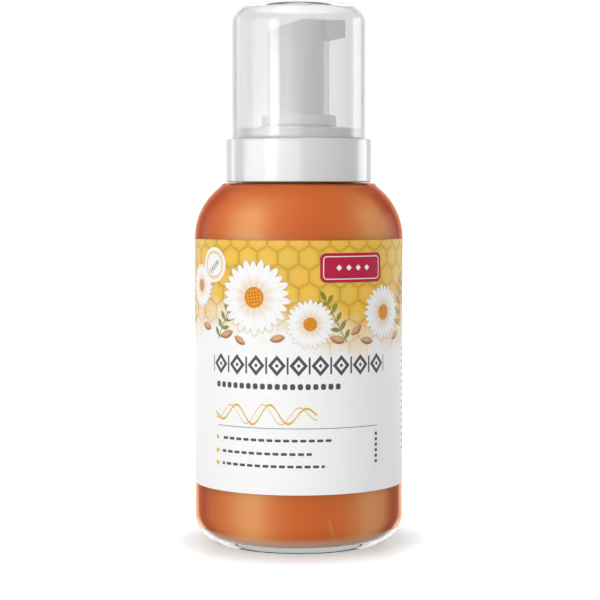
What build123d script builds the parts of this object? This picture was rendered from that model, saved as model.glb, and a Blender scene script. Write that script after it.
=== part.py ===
"""A 300 ml foaming-pump shampoo bottle with a clear overcap.

The round bottle stands on its base ring at z = 0, and its axis is the Z axis.
The spout points along +X. All sizes are in millimetres.

From the outside inwards the pieces are:
  bottle side    bottle, label, shampoo
  pump body      gasket, pump_housing, guide_ring, valve_rod, return_spring,
                 inlet_ball, dip_tube
  screw collar   collar
  plunger        piston_rod, liquid_piston, air_piston, air_check_valve,
                 mixing_stem, mesh_holder, mesh_coarse, mesh_fine
  head           actuator_head
  cover          overcap
"""

import os
from math import atan2, cos, degrees, radians, sin, sqrt

from build123d import *

# ---------------------------------------------------------------- driving dimensions
# Bottle
BODY_RADIUS = 33.0
WALL = 0.9
BASE_CORNER = (8.5, 9.8)          # radial and vertical size of the rounded foot
BASE_THICKNESS = 1.7
PUSH_UP_RADIUS = 20.5             # where the concave base leaves the standing ring
PUSH_UP_HEIGHT = 3.0
SHOULDER_START = 98.8
SHOULDER_ARC = 18.5
LAND_HEIGHT = 114.2               # flat land round the neck, under the collar
LAND_EDGE = 0.9                   # rounding where the shoulder meets the land
NECK_RADIUS = 19.8
NECK_BORE = 17.9
NECK_TOP = 124.4
NECK_BEAD_RADIUS = 20.9           # support bead at the root of the neck
THREAD_PITCH = 4.2333             # six turns to the inch
COLLAR_TURNS = 1.25               # turns that free the collar's thread

# Label
LABEL_BOTTOM = 19.5
LABEL_TOP = 96.8
LABEL_THICKNESS = 0.1
LABEL_RADIUS = BODY_RADIUS + 0.02
LABEL_GAP_ANGLE = 14.0            # bare strip at the back, between the label's ends
LABEL_SEAM_TURN = 15.0            # the strip lies this far round from straight behind
LABEL_CORNER = 2.5

# Screw collar
COLLAR_RADIUS = 22.9
COLLAR_BORE = 21.5
COLLAR_BOTTOM = 114.5
COLLAR_TOP = 128.1
COLLAR_DECK = 1.4
CAP_SEAT_RADIUS = 19.7            # upstand that the overcap pushes over
CAP_SEAT_TOP = 131.3
DECK_RISE = 1.0                   # slope of the deck up to its central hole
DECK_HOLE = 11.65

# Overcap
CAP_RADIUS = 21.07
CAP_WALL = 1.1
CAP_BOTTOM = COLLAR_TOP + 0.1
CAP_TOP = 170.4
CAP_ROOF = 1.3
CAP_CORNER = 5.7

# Head
HEAD_RADIUS = 9.7
HEAD_WALL = 1.1
HEAD_BOTTOM = 130.2
HEAD_TOP = 165.5
HEAD_EDGE = 0.8                   # rounding along the top edge
PAD_START = 1.6                   # x where the finger pad starts to slope
PAD_DROP = 3.6
SPOUT_REACH = 14.7
SPOUT_WIDTH = 9.6
SPOUT_TIP_DEPTH = 5.6
SPOUT_ROOT_DEPTH = 6.9
SPOUT_WALL = 0.95
SPOUT_CORNER = 0.7                # rounding of the spout's upright edges
SPOUT_BLEND = 1.2                 # blend of the spout into the column
PAD_BREAK = 6.0                   # rounding where the pad meets the flat top

# Guide ring, round the head's skirt
GUIDE_BORE = 9.85
GUIDE_TUBE_RADIUS = 11.4
GUIDE_RING_RADIUS = 11.9
GUIDE_RING_BOTTOM = 132.45
GUIDE_RING_TOP = 135.6

# Pump
FLANGE_BOTTOM = NECK_TOP + 0.9    # the gasket lies under it
FLANGE_THICKNESS = 1.3
FLANGE_RADIUS = 20.4
BARREL_RADIUS = 15.2
BARREL_BORE = 14.2
BARREL_FLOOR = 104.0
VENT_LEVEL = 119.7                # air hole, sealed at rest between the air piston's lips
CYLINDER_RADIUS = 6.2
CYLINDER_BORE = 5.2
CYLINDER_LEDGE = 80.0
RIB_REACH = 12.7                  # webs under the barrel's floor
RIB_FOOT = 95.5
BALL_RADIUS = 2.4
SEAT_BORE = 1.7
SEAT_LEVEL = 73.0
CHAMBER_BORE = 3.2                # chamber that the ball lifts in
SEAT_DEPTH = 1.6                  # height of the ball's conical seat
SOCKET_RADIUS = 3.7
SOCKET_BOTTOM = 60.0
SOCKET_TOP = SEAT_LEVEL - 1.6
TUBE_RADIUS = 2.5
TUBE_BORE = 1.8
ROD_RADIUS = 3.5
ROD_BORE = 2.3
ROD_SEAT_BORE = 1.55              # mouth of the rod, closed by the valve rod's head
ROD_TOP = 129.0
STEM_RADIUS = 5.1
STEM_BORE = 4.1
STEM_FOOT = 116.2                 # the foot's flange carries the air piston down
STEM_STEP = 129.3                 # where the rod's socket meets the mixing chamber
STEM_TOP = 151.0
PISTON_BOTTOM = 99.0
SPRING_WIRE = 0.42                # half the wire's thickness across its corners
SPRING_RADIUS = 3.95
SPRING_TURNS = 6.5
AIR_PISTON_LEVEL = 118.9          # underside of the air piston's disc
AIR_PISTON_TOP = 124.6            # top of its hub
MESH_LOW = 139.5                  # the mesh holder's ends
MESH_HIGH = 150.0
MESH_THICKNESS = 0.3
MESH_REBATE = 3.6
RUNNING = 0.06                    # radial clearance of a sliding fit

# Dip tube, a plain bend that reaches the front corner of the base
TUBE_BEND_START = 60.0
TUBE_END = 8.0
TUBE_REACH = 20.0                 # how far its end lies from the axis
TUBE_HEADING = -68.0              # direction of its end, in degrees from +X

# Shampoo
FILM = 0.08                       # gap between the fill and the bottle's wall


# ---------------------------------------------------------------- helpers
def turned(*edges):
    """A solid of revolution about Z from closed (radius, height) edges."""
    face = make_face(Wire(list(edges)))
    return revolve(Plane.XZ * face, Axis.Z)


def lathe(*points):
    """A solid of revolution from straight (radius, height) corners."""
    corners = [*points, points[0]]
    return turned(*[Line(a, b) for a, b in zip(corners, corners[1:])])


def ring(inner, outer, low, high):
    """A plain hollow cylinder."""
    return lathe((inner, low), (outer, low), (outer, high), (inner, high))


def disc(radius, low, high):
    """A plain round plate on the axis."""
    return Pos(0, 0, low) * Cylinder(
        radius, high - low, align=(Align.CENTER, Align.CENTER, Align.MIN)
    )


def block(low, high):
    """A box between two corners."""
    size = [b - a for a, b in zip(low, high)]
    return Pos(*low) * Box(*size, align=(Align.MIN, Align.MIN, Align.MIN))


def around(shape, count, start=0.0):
    """Copies of a shape, evenly spaced about Z."""
    return [Rot(0, 0, start + 360.0 * i / count) * shape for i in range(count)]


def slope_arc(start, centre, radius, angle_from, angle_to):
    """An arc in the (radius, height) plane, given its centre and two angles."""
    def at(angle):
        return (centre[0] + radius * cos(radians(angle)),
                centre[1] + radius * sin(radians(angle)))
    middle = (angle_from + angle_to) / 2
    return ThreePointArc(start or at(angle_from), at(middle), at(angle_to))


# ---------------------------------------------------------------- bottle side
def foot_and_wall(inset, floor):
    """The edges from the axis out to the shoulder, offset inwards by inset."""
    radial, upright = BASE_CORNER[0] - inset, BASE_CORNER[1] - inset
    radius = BODY_RADIUS - inset
    centre = (radius - radial, floor + upright)
    half = radians(45)
    crown = (0.0, PUSH_UP_HEIGHT + floor)
    heel = (PUSH_UP_RADIUS, floor)
    shallow = (PUSH_UP_RADIUS * 0.62, floor + PUSH_UP_HEIGHT * 0.72)
    return [
        ThreePointArc(crown, shallow, heel),
        Line(heel, (centre[0], floor)),
        ThreePointArc(
            (centre[0], floor),
            (centre[0] + radial * sin(half), centre[1] - upright * cos(half)),
            (radius, centre[1]),
        ),
        Line((radius, centre[1]), (radius, SHOULDER_START)),
    ]


def shoulder(inset, land):
    """The shoulder arc up to its land, with the arc's own end point."""
    arc = SHOULDER_ARC - inset
    centre = (BODY_RADIUS - SHOULDER_ARC, SHOULDER_START)
    rise = land - LAND_EDGE - SHOULDER_START
    end = (centre[0] + sqrt(arc**2 - rise**2), SHOULDER_START + rise)
    angle = degrees(atan2(rise, end[0] - centre[0]))
    curve = slope_arc((centre[0] + arc, SHOULDER_START), centre, arc, 0, angle)
    corner = (end[0] - 1.4, land)
    bend = (end[0] - 0.42, land - 0.24)
    return [curve, ThreePointArc(curve @ 1, bend, corner)], corner


def make_bottle():
    """Blown clear bottle: rounded foot, push-up base, straight wall, round shoulder, neck."""
    outer_rise, land = shoulder(0.0, LAND_HEIGHT)
    root = (NECK_RADIUS, LAND_HEIGHT)
    outer = turned(
        *foot_and_wall(0.0, 0.0),
        *outer_rise,
        Line(land, root),
        Line(root, (NECK_RADIUS, NECK_TOP)),
        Line((NECK_RADIUS, NECK_TOP), (0, NECK_TOP)),
        Line((0, NECK_TOP), (0, PUSH_UP_HEIGHT)),
    )
    inner_rise, ledge = shoulder(WALL, LAND_HEIGHT - WALL)
    mouth = (NECK_BORE, ledge[1])
    hollow = turned(
        *foot_and_wall(WALL, BASE_THICKNESS),
        *inner_rise,
        Line(ledge, mouth),
        Line(mouth, (NECK_BORE, NECK_TOP)),
        Line((NECK_BORE, NECK_TOP), (0, NECK_TOP)),
        Line((0, NECK_TOP), (0, PUSH_UP_HEIGHT + BASE_THICKNESS)),
    )
    bead = lathe(
        (NECK_RADIUS - 0.5, LAND_HEIGHT + 1.0), (NECK_BEAD_RADIUS, LAND_HEIGHT + 1.3),
        (NECK_BEAD_RADIUS, LAND_HEIGHT + 2.2), (NECK_RADIUS - 0.5, LAND_HEIGHT + 2.7),
    )
    return outer + bead - hollow


def dip_tube_path(rise=0.0, below=0.0):
    """The tube's centreline: a straight start and one plain bend out to the foot's corner."""
    drop = TUBE_BEND_START - TUBE_END
    bend = (drop**2 + TUBE_REACH**2) / (2 * TUBE_REACH)
    sweep = degrees(atan2(drop, bend - TUBE_REACH)) + below
    centre = (bend, TUBE_BEND_START + rise)
    top = (0.0, SOCKET_TOP + rise)
    start = (0.0, TUBE_BEND_START + rise)

    def at(angle):
        return (centre[0] - bend * cos(radians(angle)),
                centre[1] - bend * sin(radians(angle)))
    path = Wire([Line(top, start), ThreePointArc(start, at(sweep / 2), at(sweep))])
    return Rot(0, 0, TUBE_HEADING) * (Plane.XZ * path)


def along(path, radius):
    """A round rod that follows a path."""
    return sweep(Plane(path @ 0, z_dir=path % 0) * Circle(radius), path=path)


def make_dip_tube():
    """Bent polythene tube, cut square at its lower end."""
    path = dip_tube_path()
    return along(path, TUBE_RADIUS) - along(path, TUBE_BORE)


def make_shampoo():
    """The fill, up to the root of the neck, with room for the pump and its tube."""
    inset = WALL + FILM
    rise, ledge = shoulder(inset, LAND_HEIGHT - inset)
    body = turned(
        *foot_and_wall(inset, BASE_THICKNESS + FILM),
        *rise,
        Line(ledge, (0, ledge[1])),
        Line((0, ledge[1]), (0, PUSH_UP_HEIGHT + BASE_THICKNESS + FILM)),
    )
    gap = 0.3
    pump = lathe(
        (0, SOCKET_BOTTOM - gap), (SOCKET_RADIUS + gap, SOCKET_BOTTOM - gap),
        (SOCKET_RADIUS + gap, SEAT_LEVEL - gap), (CYLINDER_RADIUS + gap, SEAT_LEVEL + 3),
        (CYLINDER_RADIUS + gap, RIB_FOOT - 2 * gap),
        (BARREL_RADIUS + gap, BARREL_FLOOR - 1.2 - 2 * gap),
        (BARREL_RADIUS + gap, LAND_HEIGHT), (0, LAND_HEIGHT),
    )
    lift = THREAD_PITCH * COLLAR_TURNS
    tube_room = along(dip_tube_path(rise=lift / 2, below=2.4), TUBE_RADIUS + lift / 2)
    return body - pump - tube_room


def make_label():
    """Wrap-round label; its two ends have rounded corners and leave a bare strip between them."""
    middle = (LABEL_BOTTOM + LABEL_TOP) / 2
    height = LABEL_TOP - LABEL_BOTTOM
    sleeve = ring(LABEL_RADIUS, LABEL_RADIUS + LABEL_THICKNESS, LABEL_BOTTOM, LABEL_TOP)
    half_gap = LABEL_RADIUS * sin(radians(LABEL_GAP_ANGLE / 2))
    cut = Rectangle(LABEL_RADIUS, height + 2)
    for side in (-1, 1):
        cut -= Pos(side * (half_gap + LABEL_RADIUS), 0) * RectangleRounded(
            2 * LABEL_RADIUS, height, LABEL_CORNER)
    window = extrude(Plane.XZ * Pos(0, middle) * cut, amount=-LABEL_RADIUS * 1.2)
    return Rot(0, 0, LABEL_SEAM_TURN) * (sleeve - window)


# ---------------------------------------------------------------- pump body
def make_gasket():
    """Flat sealing ring between the neck and the pump's flange."""
    return ring(NECK_BORE, NECK_RADIUS, NECK_TOP, FLANGE_BOTTOM)


def make_pump_housing():
    """Stepped moulding: flange, plug seal, air barrel, liquid cylinder, ball seat, tube socket."""
    top = FLANGE_BOTTOM + FLANGE_THICKNESS
    shell = lathe(
        (BARREL_BORE, BARREL_FLOOR), (BARREL_BORE, top), (FLANGE_RADIUS, top),
        (FLANGE_RADIUS, FLANGE_BOTTOM), (BARREL_RADIUS, FLANGE_BOTTOM),
        (BARREL_RADIUS, BARREL_FLOOR - 0.6), (BARREL_RADIUS - 0.6, BARREL_FLOOR - 1.2),
        (CYLINDER_RADIUS, BARREL_FLOOR - 1.2), (CYLINDER_RADIUS, SEAT_LEVEL + 3.4),
        (SOCKET_RADIUS, SEAT_LEVEL - 0.3), (SOCKET_RADIUS, SOCKET_BOTTOM),
        (TUBE_RADIUS, SOCKET_BOTTOM), (TUBE_RADIUS, SOCKET_TOP), (SEAT_BORE, SOCKET_TOP),
        (SEAT_BORE, SEAT_LEVEL), (CHAMBER_BORE, SEAT_LEVEL + SEAT_DEPTH),
        (CHAMBER_BORE, CYLINDER_LEDGE), (CYLINDER_BORE, CYLINDER_LEDGE),
        (CYLINDER_BORE, BARREL_FLOOR),
    )
    plug = ring(BARREL_RADIUS + 1.5, NECK_BORE - RUNNING, FLANGE_BOTTOM - 5.0, FLANGE_BOTTOM)
    bridge = ring(BARREL_RADIUS - 0.2, NECK_BORE - 1.0, FLANGE_BOTTOM - 0.9, FLANGE_BOTTOM)
    web = make_face(Polyline(
        (CYLINDER_RADIUS - 0.3, BARREL_FLOOR - 1.0), (RIB_REACH, BARREL_FLOOR - 1.0),
        (RIB_REACH, BARREL_FLOOR - 2.4), (CYLINDER_RADIUS - 0.3, RIB_FOOT), close=True,
    ))
    ribs = around(extrude(Plane.XZ * web, amount=0.4, both=True), 6, 30)
    vent = Pos(BARREL_RADIUS - 0.5, 0, VENT_LEVEL) * Rot(0, 90, 0) * Cylinder(0.45, 3)
    return shell + plug + bridge + ribs - vent


def make_guide_ring():
    """Chaplet that closes the barrel, with the ring that guides the head's skirt."""
    seat = FLANGE_BOTTOM + FLANGE_THICKNESS
    return lathe(
        (GUIDE_BORE, seat - 3.0), (BARREL_BORE, seat - 3.0), (BARREL_BORE, seat),
        (17.2, seat), (17.2, seat + 1.1), (GUIDE_TUBE_RADIUS, seat + 1.1),
        (GUIDE_TUBE_RADIUS, GUIDE_RING_BOTTOM), (GUIDE_RING_RADIUS, GUIDE_RING_BOTTOM),
        (GUIDE_RING_RADIUS, GUIDE_RING_TOP - 0.35), (GUIDE_RING_RADIUS - 0.35, GUIDE_RING_TOP),
        (GUIDE_BORE, GUIDE_RING_TOP),
    )


def make_valve_rod():
    """Slim rod: a slotted foot on the ledge, a limit pin over the ball, a cone at the seat."""
    foot_top = CYLINDER_LEDGE + 1.2
    seat = PISTON_BOTTOM + 1.6
    rod = lathe(
        (0, SEAT_LEVEL + 5.8), (0.8, SEAT_LEVEL + 5.8), (0.8, CYLINDER_LEDGE),
        (CYLINDER_BORE - 0.15, CYLINDER_LEDGE), (CYLINDER_BORE - 0.15, foot_top),
        (2.4, foot_top), (1.2, foot_top + 0.8), (1.2, seat), (2.05, seat + 1.3),
        (2.05, seat + 2.6),
        (1.4, seat + 3.2), (0, seat + 3.2),
    )
    slot = block((1.7, -0.7, CYLINDER_LEDGE - 0.5), (3.9, 0.7, foot_top + 1.0))
    return rod - around(slot, 4, 45)


def make_return_spring():
    """Compression spring between the rod's foot and the liquid piston, wire eight-sided."""
    low = CYLINDER_LEDGE + 1.25 + SPRING_WIRE
    height = PISTON_BOTTOM - 0.05 - SPRING_WIRE - low
    path = Pos(0, 0, low) * Helix(
        pitch=height / SPRING_TURNS, height=height, radius=SPRING_RADIUS
    )
    wire = Plane(path @ 0, z_dir=path % 0) * RegularPolygon(SPRING_WIRE, 8)
    return sweep(wire, path=path, is_frenet=True)


def make_inlet_ball():
    """Steel ball of the inlet valve, resting on its conical seat."""
    widening = CHAMBER_BORE - SEAT_BORE
    half_angle = atan2(widening, SEAT_DEPTH)
    apex = SEAT_LEVEL - SEAT_BORE * SEAT_DEPTH / widening
    return Pos(0, 0, apex + BALL_RADIUS / sin(half_angle) + 0.02) * Sphere(BALL_RADIUS)


# ---------------------------------------------------------------- screw collar
def make_collar():
    """Plain round closure: skirt, deck, and the upstand that carries the overcap."""
    under = COLLAR_TOP - COLLAR_DECK
    inner_wall = CAP_SEAT_RADIUS - 1.3
    shell = lathe(
        (COLLAR_BORE, COLLAR_BOTTOM), (COLLAR_RADIUS - 0.3, COLLAR_BOTTOM),
        (COLLAR_RADIUS, COLLAR_BOTTOM + 0.3), (COLLAR_RADIUS, COLLAR_TOP - 0.5),
        (COLLAR_RADIUS - 0.15, COLLAR_TOP - 0.15), (COLLAR_RADIUS - 0.5, COLLAR_TOP),
        (CAP_SEAT_RADIUS, COLLAR_TOP), (CAP_SEAT_RADIUS, COLLAR_TOP + 1.2),
        (CAP_SEAT_RADIUS + 0.18, COLLAR_TOP + 1.6), (CAP_SEAT_RADIUS + 0.18, COLLAR_TOP + 2.0),
        (CAP_SEAT_RADIUS, COLLAR_TOP + 2.4), (CAP_SEAT_RADIUS, CAP_SEAT_TOP - 0.3),
        (CAP_SEAT_RADIUS - 0.3, CAP_SEAT_TOP), (DECK_HOLE, CAP_SEAT_TOP + DECK_RISE),
        (DECK_HOLE, CAP_SEAT_TOP + DECK_RISE - 1.2), (inner_wall, CAP_SEAT_TOP - 1.2),
        (inner_wall, under), (COLLAR_BORE, under),
    )
    web = block((DECK_HOLE + 1.0, -0.45, under + 1.3), (inner_wall + 0.2, 0.45, CAP_SEAT_TOP - 0.9))
    return shell + around(web, 12)


# ---------------------------------------------------------------- plunger
def make_piston_rod():
    """Hollow lower rod, with the outlet seat in its mouth."""
    bottom = PISTON_BOTTOM + 0.4
    seat = PISTON_BOTTOM + 1.5
    return lathe(
        (ROD_SEAT_BORE, bottom), (ROD_RADIUS, bottom), (ROD_RADIUS, ROD_TOP),
        (ROD_BORE, ROD_TOP), (ROD_BORE, seat + 1.45), (ROD_SEAT_BORE, seat),
    )


def make_liquid_piston():
    """Soft piston with an upper and a lower lip, gripped on the rod's end."""
    lip = CYLINDER_BORE - RUNNING
    low = PISTON_BOTTOM
    return lathe(
        (ROD_RADIUS, low + 0.4), (ROD_RADIUS, low + 5.2), (ROD_RADIUS + 0.6, low + 5.2),
        (ROD_RADIUS + 0.6, low + 3.4), (lip - 0.45, low + 4.6), (lip, low + 4.6),
        (lip - 0.1, low + 2.3), (lip, low), (lip - 0.45, low), (lip - 0.6, low + 0.4),
    )


def make_air_piston():
    """Wide piston: hub on the stem, disc with six air holes, and a double sealing lip."""
    lip = BARREL_BORE - RUNNING
    hub_bore = STEM_RADIUS + RUNNING
    hub = STEM_RADIUS + 1.4
    low = AIR_PISTON_LEVEL
    body = lathe(
        (hub_bore, low - 1.9), (hub, low - 1.9), (hub, low), (lip - 1.6, low),
        (lip - 0.5, low - 1.8), (lip, low - 1.8), (lip - 0.12, low + 1.1), (lip, low + 3.7),
        (lip - 0.5, low + 3.7), (lip - 1.6, low + 1.3), (hub + 0.2, low + 1.3),
        (hub, AIR_PISTON_TOP), (hub_bore, AIR_PISTON_TOP),
    )
    hole = Pos(9.3, 0, low) * Cylinder(0.7, 4)
    return body - around(hole, 6)


def make_air_check_valve():
    """Thin soft flap under the air piston's holes."""
    bore = STEM_RADIUS + 1.45
    top = AIR_PISTON_LEVEL - 0.05
    return lathe(
        (bore, top - 1.55), (bore + 0.85, top - 1.55), (bore + 1.05, top - 0.55),
        (11.2, top - 0.4), (11.2, top), (bore, top),
    )


def make_mixing_stem():
    """Hollow stem: socket for the rod, foot flange, snap shoulder and mixing chamber."""
    stem = lathe(
        (ROD_RADIUS, STEM_FOOT), (6.3, STEM_FOOT), (6.3, AIR_PISTON_LEVEL - 2.0),
        (STEM_RADIUS, AIR_PISTON_LEVEL - 2.0), (STEM_RADIUS, AIR_PISTON_TOP + 0.4),
        (6.0, AIR_PISTON_TOP + 0.8), (6.0, AIR_PISTON_TOP + 1.7),
        (STEM_RADIUS, AIR_PISTON_TOP + 2.3), (STEM_RADIUS, STEM_TOP), (STEM_BORE, STEM_TOP),
        (STEM_BORE, STEM_STEP + 1.7), (2.6, STEM_STEP), (ROD_RADIUS, STEM_STEP),
    )
    port = Pos(STEM_RADIUS - 0.6, 0, ROD_TOP - 1.1) * Rot(0, 90, 0) * Cylinder(0.45, 3.4)
    return stem - around(port, 4, 45)


def make_mesh_holder():
    """Short tube in the stem, rebated at both ends for a disc of mesh."""
    bore = MESH_REBATE - 0.5
    low_step = MESH_LOW + MESH_THICKNESS
    high_step = MESH_HIGH - MESH_THICKNESS
    return lathe(
        (bore, low_step), (bore, high_step), (MESH_REBATE, high_step), (MESH_REBATE, MESH_HIGH),
        (STEM_BORE, MESH_HIGH), (STEM_BORE, MESH_LOW), (MESH_REBATE, MESH_LOW),
        (MESH_REBATE, low_step),
    )


def make_mesh(level, threads):
    """A disc of woven nylon mesh: crossed threads inside a welded rim."""
    inner = MESH_REBATE - 0.45
    rim = ring(inner, MESH_REBATE, level, level + MESH_THICKNESS)
    reach = inner + 0.15
    spacing = 2 * reach / (threads + 1)
    bars = []
    for i in range(threads):
        offset = spacing * (i + 1) - reach
        half = sqrt(reach**2 - offset**2)
        bar = block((offset - 0.09, -half, level + 0.06), (offset + 0.09, half, level + 0.24))
        bars += [bar, Rot(0, 0, 90) * bar]
    return rim + bars


def make_mesh_coarse():
    """The open mesh that the foam meets first."""
    return make_mesh(MESH_LOW, 6)


def make_mesh_fine():
    """The finer mesh at the stem's mouth."""
    return make_mesh(MESH_HIGH - MESH_THICKNESS, 9)


# ---------------------------------------------------------------- head and cover
def head_blank():
    """The head's outer form up to a flat top: column and spout, upright edges eased."""
    low = HEAD_TOP - SPOUT_ROOT_DEPTH
    side = Polyline(
        (0, HEAD_TOP), (SPOUT_REACH, HEAD_TOP), (SPOUT_REACH, HEAD_TOP - SPOUT_TIP_DEPTH),
        (HEAD_RADIUS - 0.5, low), (0, low), close=True,
    )
    solid = disc(HEAD_RADIUS, HEAD_BOTTOM, HEAD_TOP)
    solid += extrude(Plane.XZ * make_face(side), amount=SPOUT_WIDTH / 2, both=True)
    tip = solid.edges().filter_by(Axis.Z).filter_by(
        lambda edge: edge.center().X > SPOUT_REACH - 0.1)
    solid = fillet(tip, SPOUT_CORNER)
    joint = solid.edges().filter_by(Axis.Z).filter_by(
        lambda edge: 5 < edge.center().X < HEAD_RADIUS and abs(edge.center().Y) > 3)
    return fillet(joint, SPOUT_BLEND)


def above_pad(drop):
    """Everything over the head's flat top and sloping pad, moved down by drop."""
    far = 3.0
    slope = PAD_DROP / (HEAD_RADIUS + PAD_START)
    low_end = HEAD_TOP - PAD_DROP - far * slope
    face = make_face(Polyline(
        (-HEAD_RADIUS - far, low_end), (PAD_START, HEAD_TOP), (SPOUT_REACH + far, HEAD_TOP),
        (SPOUT_REACH + far, HEAD_TOP + 9), (-HEAD_RADIUS - far, HEAD_TOP + 9), close=True,
    ))
    crease = face.vertices().sort_by_distance((PAD_START, HEAD_TOP))[0]
    face = fillet(crease, PAD_BREAK)
    return Pos(0, 0, -drop) * extrude(Plane.XZ * face, amount=HEAD_RADIUS + 1, both=True)


def foam_passage():
    """Riser from the stem and a channel that widens to the spout's mouth."""
    inner_end = Plane.YZ.offset(-2.8) * Pos(0, HEAD_TOP - 3.8) * RectangleRounded(5.6, 3.0, 1.2)
    mouth_width = SPOUT_WIDTH - 2 * SPOUT_WALL
    mouth_height = SPOUT_TIP_DEPTH - 2 * SPOUT_WALL
    mouth_level = HEAD_TOP - SPOUT_TIP_DEPTH / 2
    mouth = Pos(0, mouth_level) * RectangleRounded(mouth_width, mouth_height, 1.3)
    channel = loft([inner_end, Plane.YZ.offset(SPOUT_REACH + 0.2) * mouth])
    return channel + disc(2.75, STEM_TOP - 0.5, HEAD_TOP - 3.8)


def make_actuator_head():
    """Press head: thin skirt, sloping pad, short spout, and ribs round the stem's socket."""
    solid = head_blank() - above_pad(0)
    rim = solid.edges().filter_by(
        lambda edge: edge.bounding_box().min.Z > HEAD_TOP - PAD_DROP - 0.1)
    solid = fillet(rim, HEAD_EDGE)
    roof = 1.3
    hollow = disc(HEAD_RADIUS - HEAD_WALL, HEAD_BOTTOM - 1, HEAD_TOP) - above_pad(roof)
    socket_bore = STEM_RADIUS + RUNNING
    core = disc(socket_bore + 1.1, HEAD_BOTTOM + 10, HEAD_TOP)
    core -= disc(socket_bore, HEAD_BOTTOM, STEM_TOP + 0.1)
    core += block((-4.0, -4.0, HEAD_TOP - 7.0), (HEAD_RADIUS - 0.5, 4.0, HEAD_TOP))
    for rib in around(block((socket_bore + 0.5, -0.4, 145.0), (9.2, 0.4, HEAD_TOP)), 4, 45):
        core += rib
    return solid - (hollow - core) - foam_passage()


def make_overcap():
    """Clear dome-cornered cover that pushes down over the collar's upstand."""
    inner_radius = CAP_RADIUS - CAP_WALL
    inner_top = CAP_TOP - CAP_ROOF
    inner_corner = CAP_CORNER - CAP_WALL
    outer_centre = (CAP_RADIUS - CAP_CORNER, CAP_TOP - CAP_CORNER)
    inner_centre = (inner_radius - inner_corner, inner_top - inner_corner)
    outer_arc = slope_arc(None, outer_centre, CAP_CORNER, 0, 90)
    inner_arc = slope_arc(None, inner_centre, inner_corner, 90, 0)
    lead = 0.35
    return turned(
        Line((inner_radius + lead, CAP_BOTTOM), (CAP_RADIUS - 0.2, CAP_BOTTOM)),
        Line((CAP_RADIUS - 0.2, CAP_BOTTOM), (CAP_RADIUS, CAP_BOTTOM + 0.3)),
        Line((CAP_RADIUS, CAP_BOTTOM + 0.3), outer_arc @ 0),
        outer_arc,
        Line(outer_arc @ 1, (0, CAP_TOP)),
        Line((0, CAP_TOP), (0, inner_top)),
        Line((0, inner_top), inner_arc @ 0),
        inner_arc,
        Line(inner_arc @ 1, (inner_radius, CAP_BOTTOM + 0.8)),
        Line((inner_radius, CAP_BOTTOM + 0.8), (inner_radius + lead, CAP_BOTTOM)),
    )


PIECES = {
    "bottle": make_bottle,
    "label": make_label,
    "shampoo": make_shampoo,
    "gasket": make_gasket,
    "pump_housing": make_pump_housing,
    "guide_ring": make_guide_ring,
    "valve_rod": make_valve_rod,
    "return_spring": make_return_spring,
    "inlet_ball": make_inlet_ball,
    "dip_tube": make_dip_tube,
    "collar": make_collar,
    "piston_rod": make_piston_rod,
    "liquid_piston": make_liquid_piston,
    "air_piston": make_air_piston,
    "air_check_valve": make_air_check_valve,
    "mixing_stem": make_mixing_stem,
    "mesh_holder": make_mesh_holder,
    "mesh_coarse": make_mesh_coarse,
    "mesh_fine": make_mesh_fine,
    "actuator_head": make_actuator_head,
    "overcap": make_overcap,
}

os.makedirs("parts", exist_ok=True)
for name, make in PIECES.items():
    export_step(make(), f"parts/{name}.step")
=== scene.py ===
"""Looks of a 300 ml foaming-pump shampoo bottle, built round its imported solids.

The bottle stands on its base ring at the origin, with its axis on Z and its spout along +X.
Outlines are written in millimetres as (radius, height) points, and become metres when they
are turned into meshes.
"""
import cmath
import logging
import math
from collections import Counter
from collections.abc import Callable, Sequence
from dataclasses import dataclass
from enum import Enum

import bmesh
import bpy
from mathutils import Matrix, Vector


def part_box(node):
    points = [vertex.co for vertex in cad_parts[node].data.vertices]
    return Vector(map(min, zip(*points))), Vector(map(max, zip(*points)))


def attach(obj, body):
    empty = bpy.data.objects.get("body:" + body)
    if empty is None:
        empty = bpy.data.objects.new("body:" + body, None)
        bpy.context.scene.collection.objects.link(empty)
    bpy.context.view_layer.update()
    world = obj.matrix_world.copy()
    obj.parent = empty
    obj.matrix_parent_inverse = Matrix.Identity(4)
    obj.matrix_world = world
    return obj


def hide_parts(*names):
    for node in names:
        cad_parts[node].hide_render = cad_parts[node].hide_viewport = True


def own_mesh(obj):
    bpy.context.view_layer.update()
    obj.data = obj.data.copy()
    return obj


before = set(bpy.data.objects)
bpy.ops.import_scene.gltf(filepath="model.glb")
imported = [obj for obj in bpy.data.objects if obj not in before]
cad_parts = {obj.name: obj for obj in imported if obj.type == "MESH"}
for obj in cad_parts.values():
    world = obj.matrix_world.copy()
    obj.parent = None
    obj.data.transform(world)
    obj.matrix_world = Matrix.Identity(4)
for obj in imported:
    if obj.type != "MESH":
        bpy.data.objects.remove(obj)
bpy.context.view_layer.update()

LOG = logging.getLogger("shampoo_bottle")
MM = 0.001
SEGMENTS = 256
THREAD_PITCH = 4.2333
THREAD_STEPS = 96
WELD = 1e-5 * MM

Colour = tuple[float, float, float]
Point = tuple[float, float]


class Body(Enum):
    """The rigid bodies that pieces ride on."""

    CONTAINER = "container"
    PUMP = "pump_unit"
    CLOSURE = "closure"
    COVER = "cover"
    HEAD = "head"


# ---------------------------------------------------------------- small helpers
def linear(red: int, green: int, blue: int) -> Colour:
    """Turns a display colour, 0 to 255, into the linear colour that shaders take.

    Args:
        red: Red part.
        green: Green part.
        blue: Blue part.

    Returns:
        The linear colour.
    """
    def one(part: int) -> float:
        """One part of the colour."""
        share = part / 255
        return share / 12.92 if share <= 0.04045 else ((share + 0.055) / 1.055) ** 2.4
    return one(red), one(green), one(blue)


def node_box(node: str) -> tuple[Vector, Vector]:
    """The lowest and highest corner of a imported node, in millimetres."""
    low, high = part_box(node)
    return low / MM, high / MM


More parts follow.
